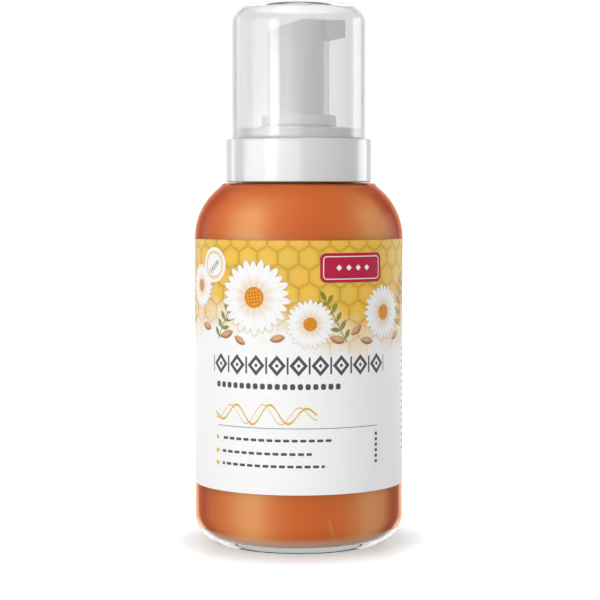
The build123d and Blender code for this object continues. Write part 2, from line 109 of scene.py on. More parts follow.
def arc(centre: Point, radius: float, start: float, stop: float, steps: int) -> list[Point]:
    """Points along part of a circle.

    Args:
        centre: The circle's centre.
        radius: Its radius.
        start: First angle in degrees, where 0 points outwards and 90 up.
        stop: Last angle in degrees.
        steps: Number of stretches.

    Returns:
        The points, both ends included.
    """
    angles = [math.radians(start + (stop - start) * i / steps) for i in range(steps + 1)]
    return [(centre[0] + radius * math.cos(a), centre[1] + radius * math.sin(a))
            for a in angles]


def bow(start: Point, middle: Point, stop: Point, steps: int) -> list[Point]:
    """Points along the circle's arc from start, through middle, to stop.

    Args:
        start: First point.
        middle: Any point between.
        stop: Last point.
        steps: Number of stretches.

    Returns:
        The points, both ends included.
    """
    a, b, c = complex(*start), complex(*middle), complex(*stop)
    turned = (c - a) / (b - a)
    centre = a + (b - a) * (turned - abs(turned) ** 2) / (2j * turned.imag)
    radius = abs(a - centre)
    first, last = (math.degrees(cmath.phase(point - centre)) for point in (a, c))
    half = math.degrees(cmath.phase((b - centre) / (a - centre)))
    sweep = (last - first) % 360 if half > 0 else -((first - last) % 360)
    return arc((centre.real, centre.imag), radius, first, first + sweep, steps)


# ---------------------------------------------------------------- mesh making
def shade_smooth(bm: bmesh.types.BMesh, sharp_degrees: float = 32.0) -> None:
    """Shades a mesh smooth, except across edges sharper than an angle.

    Args:
        bm: The mesh.
        sharp_degrees: Angle between faces past which an edge stays crisp.
    """
    for face in bm.faces:
        face.smooth = True
    limit = math.radians(sharp_degrees)
    for edge in bm.edges:
        edge.smooth = edge.is_manifold and edge.calc_face_angle(0.0) < limit


def weld(bm: bmesh.types.BMesh, reach: float) -> None:
    """Joins points that lie close together, and drops what that flattens.

    Args:
        bm: The mesh.
        reach: How close, in metres.
    """
    bmesh.ops.remove_doubles(bm, verts=bm.verts, dist=reach)
    bmesh.ops.dissolve_degenerate(bm, edges=bm.edges, dist=reach)


def face_outwards(bm: bmesh.types.BMesh) -> None:
    """Turns every face of a closed piece outwards.

    Args:
        bm: The mesh.
    """
    bmesh.ops.recalc_face_normals(bm, faces=bm.faces)
    if bm.calc_volume(signed=True) < 0:
        bmesh.ops.reverse_faces(bm, faces=bm.faces)


def cut(bm: bmesh.types.BMesh, point: Vector | tuple, normal: Vector | tuple) -> None:
    """Cuts edges into a mesh where a plane crosses it."""
    bmesh.ops.bisect_plane(bm, geom=bm.verts[:] + bm.edges[:] + bm.faces[:],
                           plane_co=point, plane_no=normal, dist=1e-8)


def to_object(bm: bmesh.types.BMesh, name: str) -> bpy.types.Object:
    """Turns a finished bmesh into an object at the origin.

    Args:
        bm: The mesh, which is freed.
        name: Name of the piece.

    Returns:
        The linked object.
    """
    mesh = bpy.data.meshes.new(name)
    bm.to_mesh(mesh)
    bm.free()
    piece = bpy.data.objects.new(name, mesh)
    bpy.context.scene.collection.objects.link(piece)
    return piece


def braced(outline: list[Point], closed: bool, run: float = 2.5,
           inset: float = 0.15) -> list[Point]:
    """Adds a point just inside both ends of each long straight run, so it shades flat.

    Args:
        outline: The (radius, height) points, in millimetres.
        closed: True where the last point joins the first.
        run: Length past which a run is long.
        inset: How far inside its ends the points lie.

    Returns:
        The outline with the added points.
    """
    points: list[Point] = []
    ahead = outline[1:] + (outline[:1] if closed else outline[-1:])
    for start, stop in zip(outline, ahead):
        points.append(start)
        span = math.dist(start, stop)
        if span > run:
            points += [(start[0] + (stop[0] - start[0]) * share,
                        start[1] + (stop[1] - start[1]) * share)
                       for share in (inset / span, 1 - inset / span)]
    return points


def turn(name: str, outline: list[Point], closed: bool = True) -> bpy.types.Object:
    """Turns an outline about Z into a closed piece.

    Args:
        name: Name of the piece.
        outline: The (radius, height) points, in millimetres.
        closed: True for a ring's outline, false for one that starts and ends on the axis.

    Returns:
        The piece.
    """
    bm = bmesh.new()
    verts = [bm.verts.new((radius * MM, 0, height * MM))
             for radius, height in braced(outline, closed)]
    ahead = verts[1:] + verts[:1] if closed else verts[1:]
    edges = [bm.edges.new(pair) for pair in zip(verts, ahead)]
    bmesh.ops.spin(bm, geom=verts + edges, axis=(0, 0, 1), cent=(0, 0, 0), dvec=(0, 0, 0),
                   angle=math.tau, steps=SEGMENTS, use_merge=True)
    weld(bm, WELD)
    face_outwards(bm)
    shade_smooth(bm)
    return to_object(bm, name)


def brace_walls(bm: bmesh.types.BMesh, run: float = 2.5, inset: float = 0.12,
                shared: int = 24) -> None:
    """Cuts a ring just inside both ends of each tall upright wall, so it shades flat.

    Args:
        bm: The mesh.
        run: Height past which a wall is tall, in millimetres.
        inset: How far inside its ends the rings lie.
        shared: How many facets must end at a height for it to be cut.
    """
    ends: Counter[float] = Counter()
    for face in bm.faces:
        heights = [vert.co.z / MM for vert in face.verts]
        if max(heights) - min(heights) > run and abs(face.normal.z) < 0.2:
            ends[round(min(heights) + inset, 2)] += 1
            ends[round(max(heights) - inset, 2)] += 1
    for level in sorted(level for level, count in ends.items() if count >= shared):
        cut(bm, (0, 0, level * MM), (0, 0, 1))


def smooth_copy(node: str, name: str) -> bpy.types.Object:
    """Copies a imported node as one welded, smoothly shaded mesh.

    Args:
        node: The node to copy.
        name: Name of the piece.

    Returns:
        The piece.
    """
    bm = bmesh.new()
    bm.from_mesh(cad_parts[node].data)
    weld(bm, 100 * WELD)
    bmesh.ops.dissolve_limit(bm, angle_limit=math.radians(0.4), verts=bm.verts, edges=bm.edges)
    brace_walls(bm)
    shade_smooth(bm)
    return to_object(bm, name)


def helix_rod(name: str, section: list[Point], stretches: Sequence[Point],
              steps_per_turn: int = 48) -> bpy.types.Object:
    """Sweeps a closed section up a screw path.

    Args:
        name: Name of the piece.
        section: Corners of the section at its start, in millimetres.
        stretches: Each stretch of the path as (turns, rise in millimetres).
        steps_per_turn: Facets in each turn.

    Returns:
        The piece, with both ends closed.
    """
    bm = bmesh.new()
    verts = [bm.verts.new((r * MM, 0, z * MM)) for r, z in section]
    edges = [bm.edges.new(pair) for pair in zip(verts, verts[1:] + verts[:1])]
    last = verts + edges
    for turns, rise in stretches:
        steps = max(2, round(steps_per_turn * turns))
        last = bmesh.ops.spin(
            bm, geom=last, axis=(0, 0, 1), cent=(0, 0, 0), angle=math.tau * turns,
            dvec=(0, 0, rise * MM / steps), steps=steps, use_merge=False)["geom_last"]
    bmesh.ops.remove_doubles(bm, verts=bm.verts, dist=WELD)
    open_edges = [edge for edge in bm.edges if edge.is_boundary]
    bmesh.ops.holes_fill(bm, edges=open_edges, sides=0)
    face_outwards(bm)
    shade_smooth(bm, 50)
    return to_object(bm, name)


def place(piece: bpy.types.Object, body: Body, slot: str, material: bpy.types.Material,
          *stands_for: str) -> None:
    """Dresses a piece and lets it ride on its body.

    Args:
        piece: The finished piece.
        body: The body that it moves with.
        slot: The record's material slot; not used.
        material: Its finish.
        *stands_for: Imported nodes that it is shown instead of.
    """
    piece.data.materials.clear()
    piece.data.materials.append(material)
    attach(piece, body.value)
    if stands_for:
        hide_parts(*stands_for)
    LOG.info("%s: %d faces on %s", piece.name, len(piece.data.polygons), body.value)


# ---------------------------------------------------------------- node trees
class Tree:
    """A node tree under construction, with short ways to add its nodes."""

    def __init__(self, tree: bpy.types.NodeTree) -> None:
        """Holds the tree."""
        self.tree = tree

    def fill(self, slot: bpy.types.NodeSocket, source: "Source") -> None:
        """Links a varying source to an input, or sets a plain value on it.

        Args:
            slot: The input.
            source: What it gets: a value, an output socket, a number, a colour or a vector.
        """
        if isinstance(source, Value):
            source = source.socket
        if isinstance(source, bpy.types.NodeSocket):
            self.tree.links.new(source, slot)
        else:
            slot.default_value = (*source, 1.0) if slot.type == "RGBA" else source

    def node(self, kind: str, sources: "dict[str | int, Source] | None" = None,
             **settings: object) -> bpy.types.Node:
        """Adds a node.

        Args:
            kind: The node's type.
            sources: What its inputs get, by name or by number.
            **settings: Its properties, which are set first.

        Returns:
            The node.
        """
        made = self.tree.nodes.new(kind)
        for key, value in settings.items():
            setattr(made, key, value)
        for key, source in (sources or {}).items():
            self.fill(made.inputs[key], source)
        return made

    def vector(self, operation: str, *terms: "Source",
               output: str = "Vector") -> bpy.types.NodeSocket:
        """Adds a vector math node, and gives one of its outputs."""
        return self.node("ShaderNodeVectorMath", dict(enumerate(terms)),
                         operation=operation).outputs[output]

    def position(self) -> bpy.types.NodeSocket:
        """The place on the piece, in metres."""
        return self.node("ShaderNodeTexCoord").outputs["Object"]

    def parts(self, vector: bpy.types.NodeSocket) -> "list[Value]":
        """A vector's three parts."""
        split = self.node("ShaderNodeSeparateXYZ", {0: vector})
        return [Value(self, part) for part in split.outputs]

    def noise(self, where: bpy.types.NodeSocket, scale: float, detail: float = 2.0) -> "Value":
        """Cloudy noise, about 0 to 1.

        Args:
            where: The place to read it at.
            scale: Clouds in each unit of length.
            detail: Octaves of finer clouds.

        Returns:
            The noise.
        """
        cloud = self.node("ShaderNodeTexNoise",
                          {"Vector": where, "Scale": scale, "Detail": detail})
        return Value(self, cloud.outputs[0])

    def bump(self, height: "Value", distance: float) -> bpy.types.NodeSocket:
        """Surface normals of a relief, 0 to 1, whose depth is a distance in metres."""
        return self.node("ShaderNodeBump",
                         {"Strength": 1.0, "Distance": distance, "Height": height}).outputs[0]

    def blend(self, share: "Value", first: "Source", second: "Source") -> bpy.types.NodeSocket:
        """Mixes two colours.

        Args:
            share: How much of the second shows.
            first: A colour or a colour socket.
            second: A colour or a colour socket.

        Returns:
            The mixed colour.
        """
        return self.node("ShaderNodeMix", {"Factor": share, "A": first, "B": second},
                         data_type="RGBA").outputs["Result"]


class Value:
    """A number that varies over a surface, so that patterns can be written as sums."""

    def __init__(self, tree: Tree, socket: bpy.types.NodeSocket) -> None:
        """Holds one output socket of a tree."""
        self.tree = tree
        self.socket = socket

    def apply(self, operation: str, *others: "Value | float", clamp: bool = False) -> "Value":
        """Adds a math node that starts from this value.

        Args:
            operation: The node's operation.
            *others: Its other terms.
            clamp: Whether its result is kept from 0 to 1.

        Returns:
            The result.
        """
        node = self.tree.node("ShaderNodeMath", dict(enumerate((self, *others))),
                              operation=operation, use_clamp=clamp)
        return Value(self.tree, node.outputs[0])

    def __add__(self, other: "Value | float") -> "Value":
        """The sum."""
        return self.apply("ADD", other)

    def __sub__(self, other: "Value | float") -> "Value":
        """The difference."""
        return self.apply("SUBTRACT", other)

    def __mul__(self, other: "Value | float") -> "Value":
        """The product."""
        return self.apply("MULTIPLY", other)

    def __truediv__(self, other: "Value | float") -> "Value":
        """The quotient."""
        return self.apply("DIVIDE", other)

    __radd__ = __add__

    def __abs__(self) -> "Value":
        """The size without its sign."""
        return self.apply("ABSOLUTE")

    def least(self, other: "Value | float") -> "Value":
        """The smaller of two."""
        return self.apply("MINIMUM", other)

    def most(self, other: "Value | float") -> "Value":
        """The larger of two."""
        return self.apply("MAXIMUM", other)

    def capped(self, extra: "Value | float" = 0.0) -> "Value":
        """This value and an extra one, kept from 0 to 1."""
        return self.apply("ADD", extra, clamp=True)

    def scaled(self, factor: "Value | float") -> "Value":
        """The product, kept from 0 to 1."""
        return self.apply("MULTIPLY", factor, clamp=True)

    def bell(self) -> "Value":
        """A soft hump that is 1 where this value is 0."""
        return (self * self * -1.0).apply("EXPONENT")

    def wrapped(self, period: float) -> "Value":
        """This value within one period, measured from the period's middle."""
        return self.apply("FLOORED_MODULO", period) - period / 2

    def inside(self, edge: float) -> "Value":
        """1 where a distance is negative, 0 where positive, with a soft edge between."""
        return self.apply("MULTIPLY_ADD", -1.0 / edge, 0.5, clamp=True)


Source = Value | bpy.types.NodeSocket | float | tuple


def length(across: Value, along: Value) -> Value:
    """The length of a flat vector."""
    return (across * across + along * along).apply("SQRT")


@dataclass
class Place:
    """A position on a flat print, in millimetres."""

    u: Value
    v: Value

    def local(self, u: float, v: float, degrees: float = 0.0) -> "Place":
        """The position as a motif at (u, v), turned anticlockwise, sees it.

        Args:
            u: The motif's centre along the label.
            v: The motif's centre above the label's foot.
            degrees: The motif's turn.

        Returns:
            The local position.
        """
        du, dv = self.u - u, self.v - v
        if not degrees:
            return Place(du, dv)
        c, s = math.cos(math.radians(degrees)), math.sin(math.radians(degrees))
        return Place(du * c + dv * s, dv * c - du * s)

    def box(self, half_u: float, half_v: float, corner: float = 0.0) -> Value:
        """Distance to a rectangle.

        Args:
            half_u: Half its width.
            half_v: Half its height.
            corner: The radius of its corners.

        Returns:
            The distance, below 0 inside.
        """
        qu = abs(self.u) - (half_u - corner)
        qv = abs(self.v) - (half_v - corner)
        outer = length(qu.most(0.0), qv.most(0.0))
        return outer + qu.most(qv).least(0.0) - corner

    def disc(self, radius: float) -> Value:
        """Distance to a round disc."""
        return length(self.u, self.v) - radius

    def oval(self, half_u: float, half_v: float) -> Value:
        """Distance, near its rim, to an oval."""
        return (length(self.u / half_u, self.v / half_v) - 1.0) * min(half_u, half_v)

    def leaf(self, half_length: float, half_width: float) -> Value:
        """Distance to a pointed leaf that lies along u."""
        sag = (half_length**2 - half_width**2) / (2 * half_width)
        return length(self.u, abs(self.v) + sag) - (sag + half_width)

    def fan(self, count: int) -> "Place":
        """Folds the position into one sector round the motif's centre.

        Args:
            count: How many equal sectors there are.

        Returns:
            The folded position.
        """
        radius = length(self.u, self.v)
        angle = self.v.apply("ARCTAN2", self.u).wrapped(math.tau / count)
        return Place(radius * angle.apply("COSINE"), radius * angle.apply("SINE"))


class Shader(Tree):
    """A material with one Principled shader."""

    def __init__(self, name: str) -> None:
        """Makes the material and its shader.

        Args:
            name: The material's name.
        """
        self.material = bpy.data.materials.new(name)
        self.material.use_nodes = True
        super().__init__(self.material.node_tree)
        self.tree.nodes.clear()
        self.surface = self.node("ShaderNodeBsdfPrincipled")
        self.node("ShaderNodeOutputMaterial", {0: self.surface.outputs[0]})

    def set(self, **sources: Source) -> None:
        """Fills the shader's own inputs, with _ for a blank in a name."""
        for key, source in sources.items():
            self.fill(self.surface.inputs[key.replace("_", " ")], source)

    def cover(self, effect: bpy.types.NodeTree, **values: Source) -> None:
        """Covers the surface with a shared effect, given its own values."""
        shown = self.node("ShaderNodeGroup", values, node_tree=effect).outputs
        self.set(Base_Color=shown["Colour"], Roughness=shown["Roughness"],
                 Normal=shown["Normal"])

    def aside(self, **normal: Source) -> Value:
        """How far the surface, or a Normal given instead of its own, turns from the eye."""
        facing = self.node("ShaderNodeLayerWeight", {"Blend": 0.5, **normal})
        return Value(self, facing.outputs["Facing"])


class Effect(Tree):
    """A node group under construction: a shared effect with named inputs and outputs."""

    def __init__(self, name: str, inputs: dict[str, float | Colour]) -> None:
        """Makes the group and its inputs.

        Args:
            name: The group's name.
            inputs: Each input with its default, a number or a colour.
        """
        super().__init__(bpy.data.node_groups.new(name, "ShaderNodeTree"))
        for key, default in inputs.items():
            kind = "NodeSocketColor" if isinstance(default, tuple) else "NodeSocketFloat"
            socket = self.tree.interface.new_socket(key, in_out="INPUT", socket_type=kind)
            socket.default_value = (*default, 1.0) if isinstance(default, tuple) else default
        self.entry = self.node("NodeGroupInput")
        self.exit = self.node("NodeGroupOutput")
        self.where = self.position()

    def value(self, name: str) -> Value:
        """One of the group's inputs."""
        return Value(self, self.entry.outputs[name])

    def give(self, name: str, source: Source, kind: str = "Float") -> None:
        """Adds an output of a kind such as Float, Color or Vector, and links its source."""
        self.tree.interface.new_socket(name, in_out="OUTPUT", socket_type="NodeSocket" + kind)
        self.fill(self.exit.inputs[name], source)

    def cloud(self, scale: float, detail: float = 2.0,
              stretch: tuple[float, float, float] = (1.0, 1.0, 1.0)) -> Value:
        """Cloudy noise over the piece, its place first scaled along each axis by stretch."""
        return self.noise(self.vector("MULTIPLY", self.where, stretch), scale, detail)

    def tinted(self, factor: Value) -> bpy.types.NodeSocket:
        """The group's colour, made lighter or darker by a factor."""
        return self.node("ShaderNodeVectorMath",
                         {0: self.entry.outputs["Colour"], "Scale": factor},
                         operation="SCALE").outputs[0]


def moulded_effect() -> bpy.types.NodeTree:
    """Injection-moulded plastic: cloudy tone, fine texture, rubbed patches and hairlines.

    Returns:
        The group.
    """
    effect = Effect("moulded_plastic", {"Colour": (0.8, 0.8, 0.8), "Tone": 0.03,
                                        "Roughness": 0.3})
    clouds = effect.cloud(70.0)
    fine = effect.cloud(2600.0, 1.0)
    rubbed = effect.cloud(28.0, 3.0)
    hairline = effect.cloud(900.0, 2.0, (1.0, 1.0, 0.03))
    marks = ((hairline - 0.66) * 12.0).scaled(rubbed)
    tone = (clouds - 0.5) * effect.value("Tone") * 2.0 + 1.0
    effect.give("Colour", effect.tinted(tone - marks * 0.03), "Color")
    effect.give("Roughness", effect.value("Roughness") + (rubbed - 0.5) * 0.12 + marks * 0.15)
    effect.give("Normal", effect.bump(fine + marks * 0.6, 0.000004), "Vector")
    return effect.tree


def clear_effect() -> bpy.types.NodeTree:
    """Clear plastic: handling haze and a few hairlines.

    Returns:
        The group.
    """
    effect = Effect("handled_clear", {"Haze": 0.03})
    smudge = effect.cloud(40.0, 4.0)
    hairline = effect.cloud(1100.0, 2.0, (1.0, 1.0, 0.05))
    marks = ((hairline - 0.68) * 10.0).scaled(smudge)
    effect.give("Haze", effect.value("Haze") * (smudge + 0.5) + marks * 0.06)
    return effect.tree


def drawn_effect() -> bpy.types.NodeTree:
    """Drawn steel: fine lines, grey clouds and faint staining.

    Returns:
        The group.
    """
    effect = Effect("drawn_steel", {"Colour": (0.6, 0.6, 0.6)})
    lines = effect.cloud(3000.0, 2.0, (1.0, 1.0, 0.2))
    clouds = effect.cloud(220.0, 3.0)
    effect.give("Colour", effect.tinted(clouds * 0.3 + 0.85), "Color")
    effect.give("Roughness", lines * 0.16 + clouds * 0.1 + 0.12)
    effect.give("Normal", effect.bump(lines, 0.000003), "Vector")
    return effect.tree


# ---------------------------------------------------------------- finishes
@dataclass(frozen=True)
class Plastic:
    """An opaque or milky moulded plastic."""

    name: str
    colour: Colour
    roughness: float = 0.3
    tone: float = 0.03
    milky: float = 0.0
    see_through: float = 0.0
    gloss: float = 0.0
    gloss_bend: float = 1.5
    gloss_haze: float = 0.1

    def material(self, effect: bpy.types.NodeTree) -> bpy.types.Material:
        """Builds the material.

        Args:
            effect: The moulded plastic effect.

        Returns:
            The material.
        """
        shader = Shader(self.name)
        shader.cover(effect, Colour=self.colour, Tone=self.tone, Roughness=self.roughness)
        shader.set(IOR=1.5, Coat_Weight=self.gloss, Coat_Roughness=self.gloss_haze,
                   Coat_IOR=self.gloss_bend, Transmission_Weight=self.see_through,
                   Subsurface_Weight=self.milky, Subsurface_Scale=0.0015,
                   Subsurface_Radius=(1.0, 0.9, 0.8))
        return shader.material


@dataclass(frozen=True)
class Steel:
    """Drawn or ground steel."""

    name: str
    colour: Colour

    def material(self, effect: bpy.types.NodeTree) -> bpy.types.Material:
        """Builds the material.

        Args:
            effect: The drawn steel effect.

        Returns:
            The material.
        """
        shader = Shader(self.name)
        shader.cover(effect, Colour=self.colour)
        shader.set(Metallic=1.0)
        return shader.material


@dataclass(frozen=True)
class Clear:
    """A clear shell that bends light little and shines on its face.

    Its colour turns from the tint to the edge colour where its face turns from the eye, painted
    shade along its outline. Where a fill stands behind it, its far sides are painted in the
    fill's colour, painted light that stands in for light through the fill, between a foot and a
    top height, in metres.
    """

    name: str
    tint: Colour
    edge: Colour
    haze: float
    gloss_haze: float
    milky: float = 0.0
    bend: float = 1.04
    edge_shade_power: float = 3.0
    gloss: float = 1.0
    gloss_bend: float = 1.5
    painted_fill_light: Colour | None = None
    painted_fill_foot: float = 0.0055
    painted_fill_top: float = 0.1185
    painted_fill_start: float = 0.45
    foot_slope: float = 250.0
    top_slope: float = 110.0
    side_slope: float = 6.0

    def material(self, effect: bpy.types.NodeTree) -> bpy.types.Material:
        """Builds the material.

        Args:
            effect: The clear plastic effect.

        Returns:
            The material.
        """
        shader = Shader(self.name)
        handled = shader.node("ShaderNodeGroup", {"Haze": self.haze}, node_tree=effect)
        aside = shader.aside()
        # Painted shade: the edge colour darkens the outline where the face turns from the eye.
        colour = shader.blend(aside.apply("POWER", self.edge_shade_power), self.tint, self.edge)
        # Painted light: between two heights, the sides turned from the eye take the fill's
        # colour, as light through the fill would show it.
        if self.painted_fill_light:
            height = shader.parts(shader.position())[2]
            above = ((height - self.painted_fill_foot) * self.foot_slope).capped()
            painted_fill_height = ((height - self.painted_fill_top) * -self.top_slope).scaled(above)
            beside = ((aside - self.painted_fill_start) * self.side_slope).scaled(painted_fill_height)
            colour = shader.blend(beside, colour, self.painted_fill_light)
        shader.set(Base_Color=colour, Roughness=handled.outputs["Haze"], IOR=self.bend,
                   Transmission_Weight=1.0 - self.milky, Coat_Weight=self.gloss,
                   Coat_IOR=self.gloss_bend, Coat_Roughness=self.gloss_haze)
        return shader.material


@dataclass(frozen=True)
class Amber:
    """The shampoo: amber with a bright band down each side, dark edges and a pale foot.

    The bright bands, the dark edges and the pale foot are painted light: painted highlights down
    the sides, painted shade at the edges and a painted lit foot. Heights are in metres. Places
    round the side run from 0, which faces the eye, to 1 at the edge.
    """

    name: str = "amber_shampoo"
    deep: Colour = linear(224, 112, 46)
    # The glow colour is the painted highlight of the bands, the edge colour is painted shade and
    # the foot colour is painted light.
    glow: Colour = linear(255, 177, 113)
    edge: Colour = linear(218, 118, 56)
    foot: Colour = linear(250, 218, 196)
    band_place: float = 0.2
    band_inner: float = 0.125
    band_outer: float = 0.24
    band_shift: float = 0.17
    edge_place: float = 0.42
    edge_slope: float = 5.0
    edge_shift: float = 0.07
    edge_on_shoulder: float = 0.2
    shoulder: float = 0.112
    shoulder_slope: float = 130.0
    lit_foot_start: float = 1.65
    foot_slope: float = 290.0
    tube_foot: float = 0.012
    tube_lean: float = 0.233
    tube_middle: float = 0.009
    tube_half: tuple[float, float] = (0.0005, 0.0032)
    tube_share: float = 0.4

    def material(self) -> bpy.types.Material:
        """Builds the material.

        Returns:
            The material.
        """
        shader = Shader(self.name)
        where = shader.position()
        x, _, height = shader.parts(where)
        swirl = shader.noise(where, 35.0, 3.0) - 0.5
        normal = shader.node("ShaderNodeNewGeometry").outputs["Normal"]
        level = shader.vector("MULTIPLY", normal, (1.0, 1.0, 0.0))
        outwards = shader.vector("NORMALIZE", level)
        right, back, _ = shader.parts(outwards)
        aside = shader.aside(Normal=outwards) + swirl * 0.05
        below_shoulder = ((height - self.shoulder) * -self.shoulder_slope).capped()

        # Painted highlight: a bright band down each side, placed by how far the face turns from
        # the eye and leaning with its sideways normal, faded out over the shoulder.
        off = aside - right * self.band_shift - self.band_place
        band = (off.most(0.0) / self.band_outer + off.least(0.0) / self.band_inner).bell()
        colour = shader.blend(band * below_shoulder, self.deep, self.glow)

        # Painted shade: darker edges where the face turns far from the eye, leaning with its
        # sideways normal.
        past = (aside - right * self.edge_shift - self.edge_place) * self.edge_slope
        shown = below_shoulder * (1.0 - self.edge_on_shoulder) + self.edge_on_shoulder
        colour = shader.blend(past.capped(swirl * 0.2) * shown, colour, self.edge)

        beside = (x + height * self.tube_lean - self.tube_foot) / self.tube_half[0]
        along = (height - self.tube_middle) / self.tube_half[1]
        streak = length(beside, along).bell() * (back * -3.0).capped()
        colour = shader.blend(streak * self.tube_share, colour, self.glow)

        # Painted light: the foot is paler, as if lit through the fill.
        low = (height * -self.foot_slope + self.lit_foot_start).capped(swirl * 0.3)
        shader.set(Base_Color=shader.blend(low, colour, self.foot), Roughness=0.4, IOR=1.15,
                   Transmission_Weight=0.08, Subsurface_Weight=0.5, Subsurface_Scale=0.01,
                   Subsurface_Radius=(1.0, 0.45, 0.2))
        return shader.material


# ---------------------------------------------------------------- label print
class Stencil:
    """A printed motif as a node group: a place on the label in, one mask for each ink out."""

    def __init__(self, name: str, draw: Callable[[Place], dict[str, Value]]) -> None:
        """Builds the group.

        Args:
            name: The motif's name.
            draw: Takes the place as the motif sees it, and gives its masks in printing order.
        """
        controls = {"U": 0.0, "V": 0.0, "Centre U": 0.0, "Centre V": 0.0, "Turn": 0.0,
                    "Size": 1.0}
        effect = Effect(name, controls)
        u = effect.value("U") - effect.value("Centre U")
        v = effect.value("V") - effect.value("Centre V")
        cos, sin = (effect.value("Turn").apply(kind) for kind in ("COSINE", "SINE"))
        size = effect.value("Size")
        masks = draw(Place((u * cos + v * sin) / size, (v * cos - u * sin) / size))
        self.tree = effect.tree
        self.inks = tuple(masks)
        for ink, mask in masks.items():
            effect.give(ink, mask)


def daisy_masks(here: Place) -> dict[str, Value]:
    """A daisy of unit size: shadowed petals round a honey-coloured eye.

    Args:
        here: The place as the motif sees it.

    Returns:
        A mask for each ink, in printing order.
    """
    front, back = here.fan(13), here.local(0, 0, 14).fan(13)
    petal = Place(front.u - 0.62, front.v)
    behind = Place(back.u - 0.58, back.v)
    crease = petal.box(0.26, 0.012).inside(0.03)
    dots = Place(here.u.wrapped(0.085), here.v.wrapped(0.085)).disc(0.026).inside(0.02)
    shade = here.disc(0.44).inside(0.34)
    return {
        "brown": behind.oval(0.4, 0.135).least(petal.oval(0.415, 0.14)).inside(0.02) * 0.55,
        "white": behind.oval(0.38, 0.11).least(petal.oval(0.39, 0.115)).inside(0.02),
        "oat": petal.oval(0.39, 0.115).inside(0.02) * (shade * 0.8) + crease * 0.35,
        "deep": here.disc(0.275).inside(0.02),
        "honey": here.disc(0.25).inside(0.12),
        "umber": dots * here.disc(0.2).inside(0.05) * 0.8,
    }


def sprig_masks(here: Place) -> dict[str, Value]:
    """A sprig of unit length with paired leaves.

    Args:
        here: The place as the motif sees it.

    Returns:
        A mask for each ink, in printing order.
    """
    along = Place(here.u - 0.5, here.v)
    stem = along.box(0.5, 0.011, 0.01)
    pair = Place(here.u.wrapped(0.2), abs(here.v)).local(0.035, 0.095, 52)
    leaves = pair.leaf(0.118, 0.044).most(along.box(0.5, 0.3))
    tip = Place(here.u - 1.06, here.v).leaf(0.12, 0.045)
    veins = abs(pair.v).most(leaves + 0.02) - 0.005
    return {"leaf": stem.least(leaves).least(tip).inside(0.015),
            "light": veins.inside(0.012) * 0.7}


def seed_masks(here: Place) -> dict[str, Value]:
    """A seed of unit half length, lit from above, with its creases.

    Args:
        here: The place as the motif sees it.

    Returns:
        A mask for each ink, in printing order.
    """
    body = here.leaf(1.0, 0.48)
    lit = here.local(-0.05, 0.14).leaf(0.78, 0.3)
    creases = (abs(Place(here.u, abs(here.v) - 0.17).v) - 0.03).most(body + 0.16)
    return {"deep": body.inside(0.06), "oat": lit.inside(0.5) * 0.85,
            "umber": creases.inside(0.05) * 0.6}


def drop_masks(here: Place) -> dict[str, Value]:
    """A run of honey of unit width that ends in a round drop.

    Args:
        here: The place as the motif sees it.

    Returns:
        A mask for each ink, in printing order.
    """
    run = Place(here.u, here.v - 1.6)
    body = run.box(0.42, 1.7, 0.3)
    bead = here.disc(0.55).least(body)
    shine = Place(here.u + 0.2, here.v - 0.1).oval(0.09, 0.26)
    return {"honey": bead.inside(0.06), "pale": shine.inside(0.08) * 0.9}


def badge_masks(here: Place) -> dict[str, Value]:
    """A plain round badge of unit radius with two thin rings.

    Args:
        here: The place as the motif sees it.

    Returns:
        A mask for each ink, in printing order.
    """
    rings = (abs(here.disc(0.8)) - 0.018).least(abs(here.disc(0.7)) - 0.03)
    return {"white": here.disc(1.0).inside(0.03), "script": rings.inside(0.03)}


def tag_masks(here: Place) -> dict[str, Value]:
    """A plain rounded tag, two units wide, with an inner line and a row of lozenges.

    Args:
        here: The place as the motif sees it.

    Returns:
        A mask for each ink, in printing order.
    """
    inner = here.box(0.9, 0.31, 0.1)
    row = Place(here.u.wrapped(0.3), here.v)
    lozenges = (abs(row.u) + abs(row.v) - 0.085).most(here.box(0.66, 0.2))
    return {"crimson": here.box(1.0, 0.41, 0.17).inside(0.012),
            "white": (abs(inner) - 0.012).least(lozenges).inside(0.012)}


